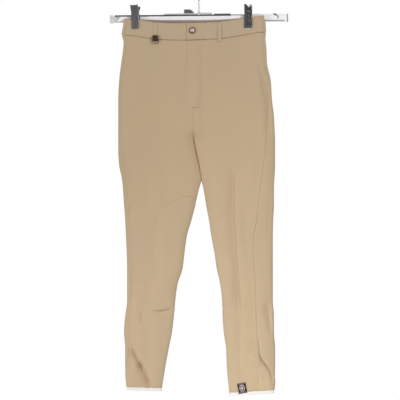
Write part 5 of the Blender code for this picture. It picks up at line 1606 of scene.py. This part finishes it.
# metres; floor: (share of its radius, height); lights: name, power, place, size, aim, spread in degrees
studio = {"floorRadius": 0.68, "floorHeight": -1.25, "floorSides": 96, "ambient": 0.42, "backdrop": 1.0,
          "floor": ((0.2, 0.0), (0.5, 0.0), (0.95, 0.0), (1.0, -0.004), (1.0, -0.02)),
          "lights": (("sideLight", 32.4, (-2.6, -1.6, -0.5), 1.2, (0.0, 0.0, -0.62), 180),
                     ("lowLight", 2.0, (-0.42, -1.8, -0.95), 0.3, (0.5, 0.0, -1.2), 60),
                     ("topLight", 6.0, (1.5, -2.2, 0.5), 0.8, (0.18, 0.0, -0.26), 80),
                     ("backLight", 18.0, (0.5, 2.4, 0.5), 1.8, (0.0, 0.0, -0.62), 180))}
camera = {"x": 2.6, "down": 577.7, "distance": 6000.0, "seenWidth": 1040.0, "sensor": 36.0}


def buildFloor():
    profile = [(studio["floorRadius"] * share / mm, (studio["floorHeight"] + height) / mm)
               for share, height in studio["floor"]]
    sides = studio["floorSides"]
    faces = tubeFaces(len(profile), sides, capped=False) + [list(range(sides))]
    floor = newMesh("studioFloor", turned(profile, sides), faces)
    floor.data.materials.append(materials["floor"])


def addLight(name, power, place, size, aim, spreadAngle):
    data = bpy.data.lights.new(name, "AREA")
    data.energy, data.shape, data.size, data.spread = power, "SQUARE", size, math.radians(spreadAngle)
    light = bpy.data.objects.new(name, data)
    light.location = place
    light.rotation_euler = (Vector(aim) - Vector(place)).to_track_quat("-Z", "Y").to_euler()
    bpy.context.scene.collection.objects.link(light)


def buildWorld():               # the camera sees a paler backdrop than the one that lights the part
    world = bpy.data.worlds.new("paleStudio")
    bpy.context.scene.world = world
    world.use_nodes = True
    tree = world.node_tree
    tree.nodes.clear()
    mix = tree.nodes.new("ShaderNodeMixShader")
    path = tree.nodes.new("ShaderNodeLightPath")
    feed(tree, mix.inputs[0], path.outputs["Is Camera Ray"])
    for socket, strength in zip(mix.inputs[1:], (studio["ambient"], studio["backdrop"])):
        background = tree.nodes.new("ShaderNodeBackground")
        background.inputs["Strength"].default_value = strength
        background.inputs["Color"].default_value = (1, 1, 1, 1)
        feed(tree, socket, background.outputs[0])
    feed(tree, tree.nodes.new("ShaderNodeOutputWorld").inputs["Surface"], mix.outputs[0])


def buildCamera():
    data = bpy.data.cameras.new("frontView")
    data.sensor_width = camera["sensor"]
    data.lens = data.sensor_width * camera["distance"] / camera["seenWidth"]
    data.clip_start, data.clip_end = 0.1, 30.0
    made = bpy.data.objects.new("frontView", data)
    made.location = Vector((camera["x"], cut["clothPlane"] - camera["distance"], -camera["down"])) * mm
    made.rotation_euler = (math.pi / 2, 0, 0)
    bpy.context.scene.collection.objects.link(made)
    bpy.context.scene.camera = made


buildFloor()
buildWorld()
buildCamera()
for light in studio["lights"]:
    addLight(*light)
bpy.context.scene.view_settings.view_transform = "Standard"
bpy.context.scene.view_settings.look = "None"
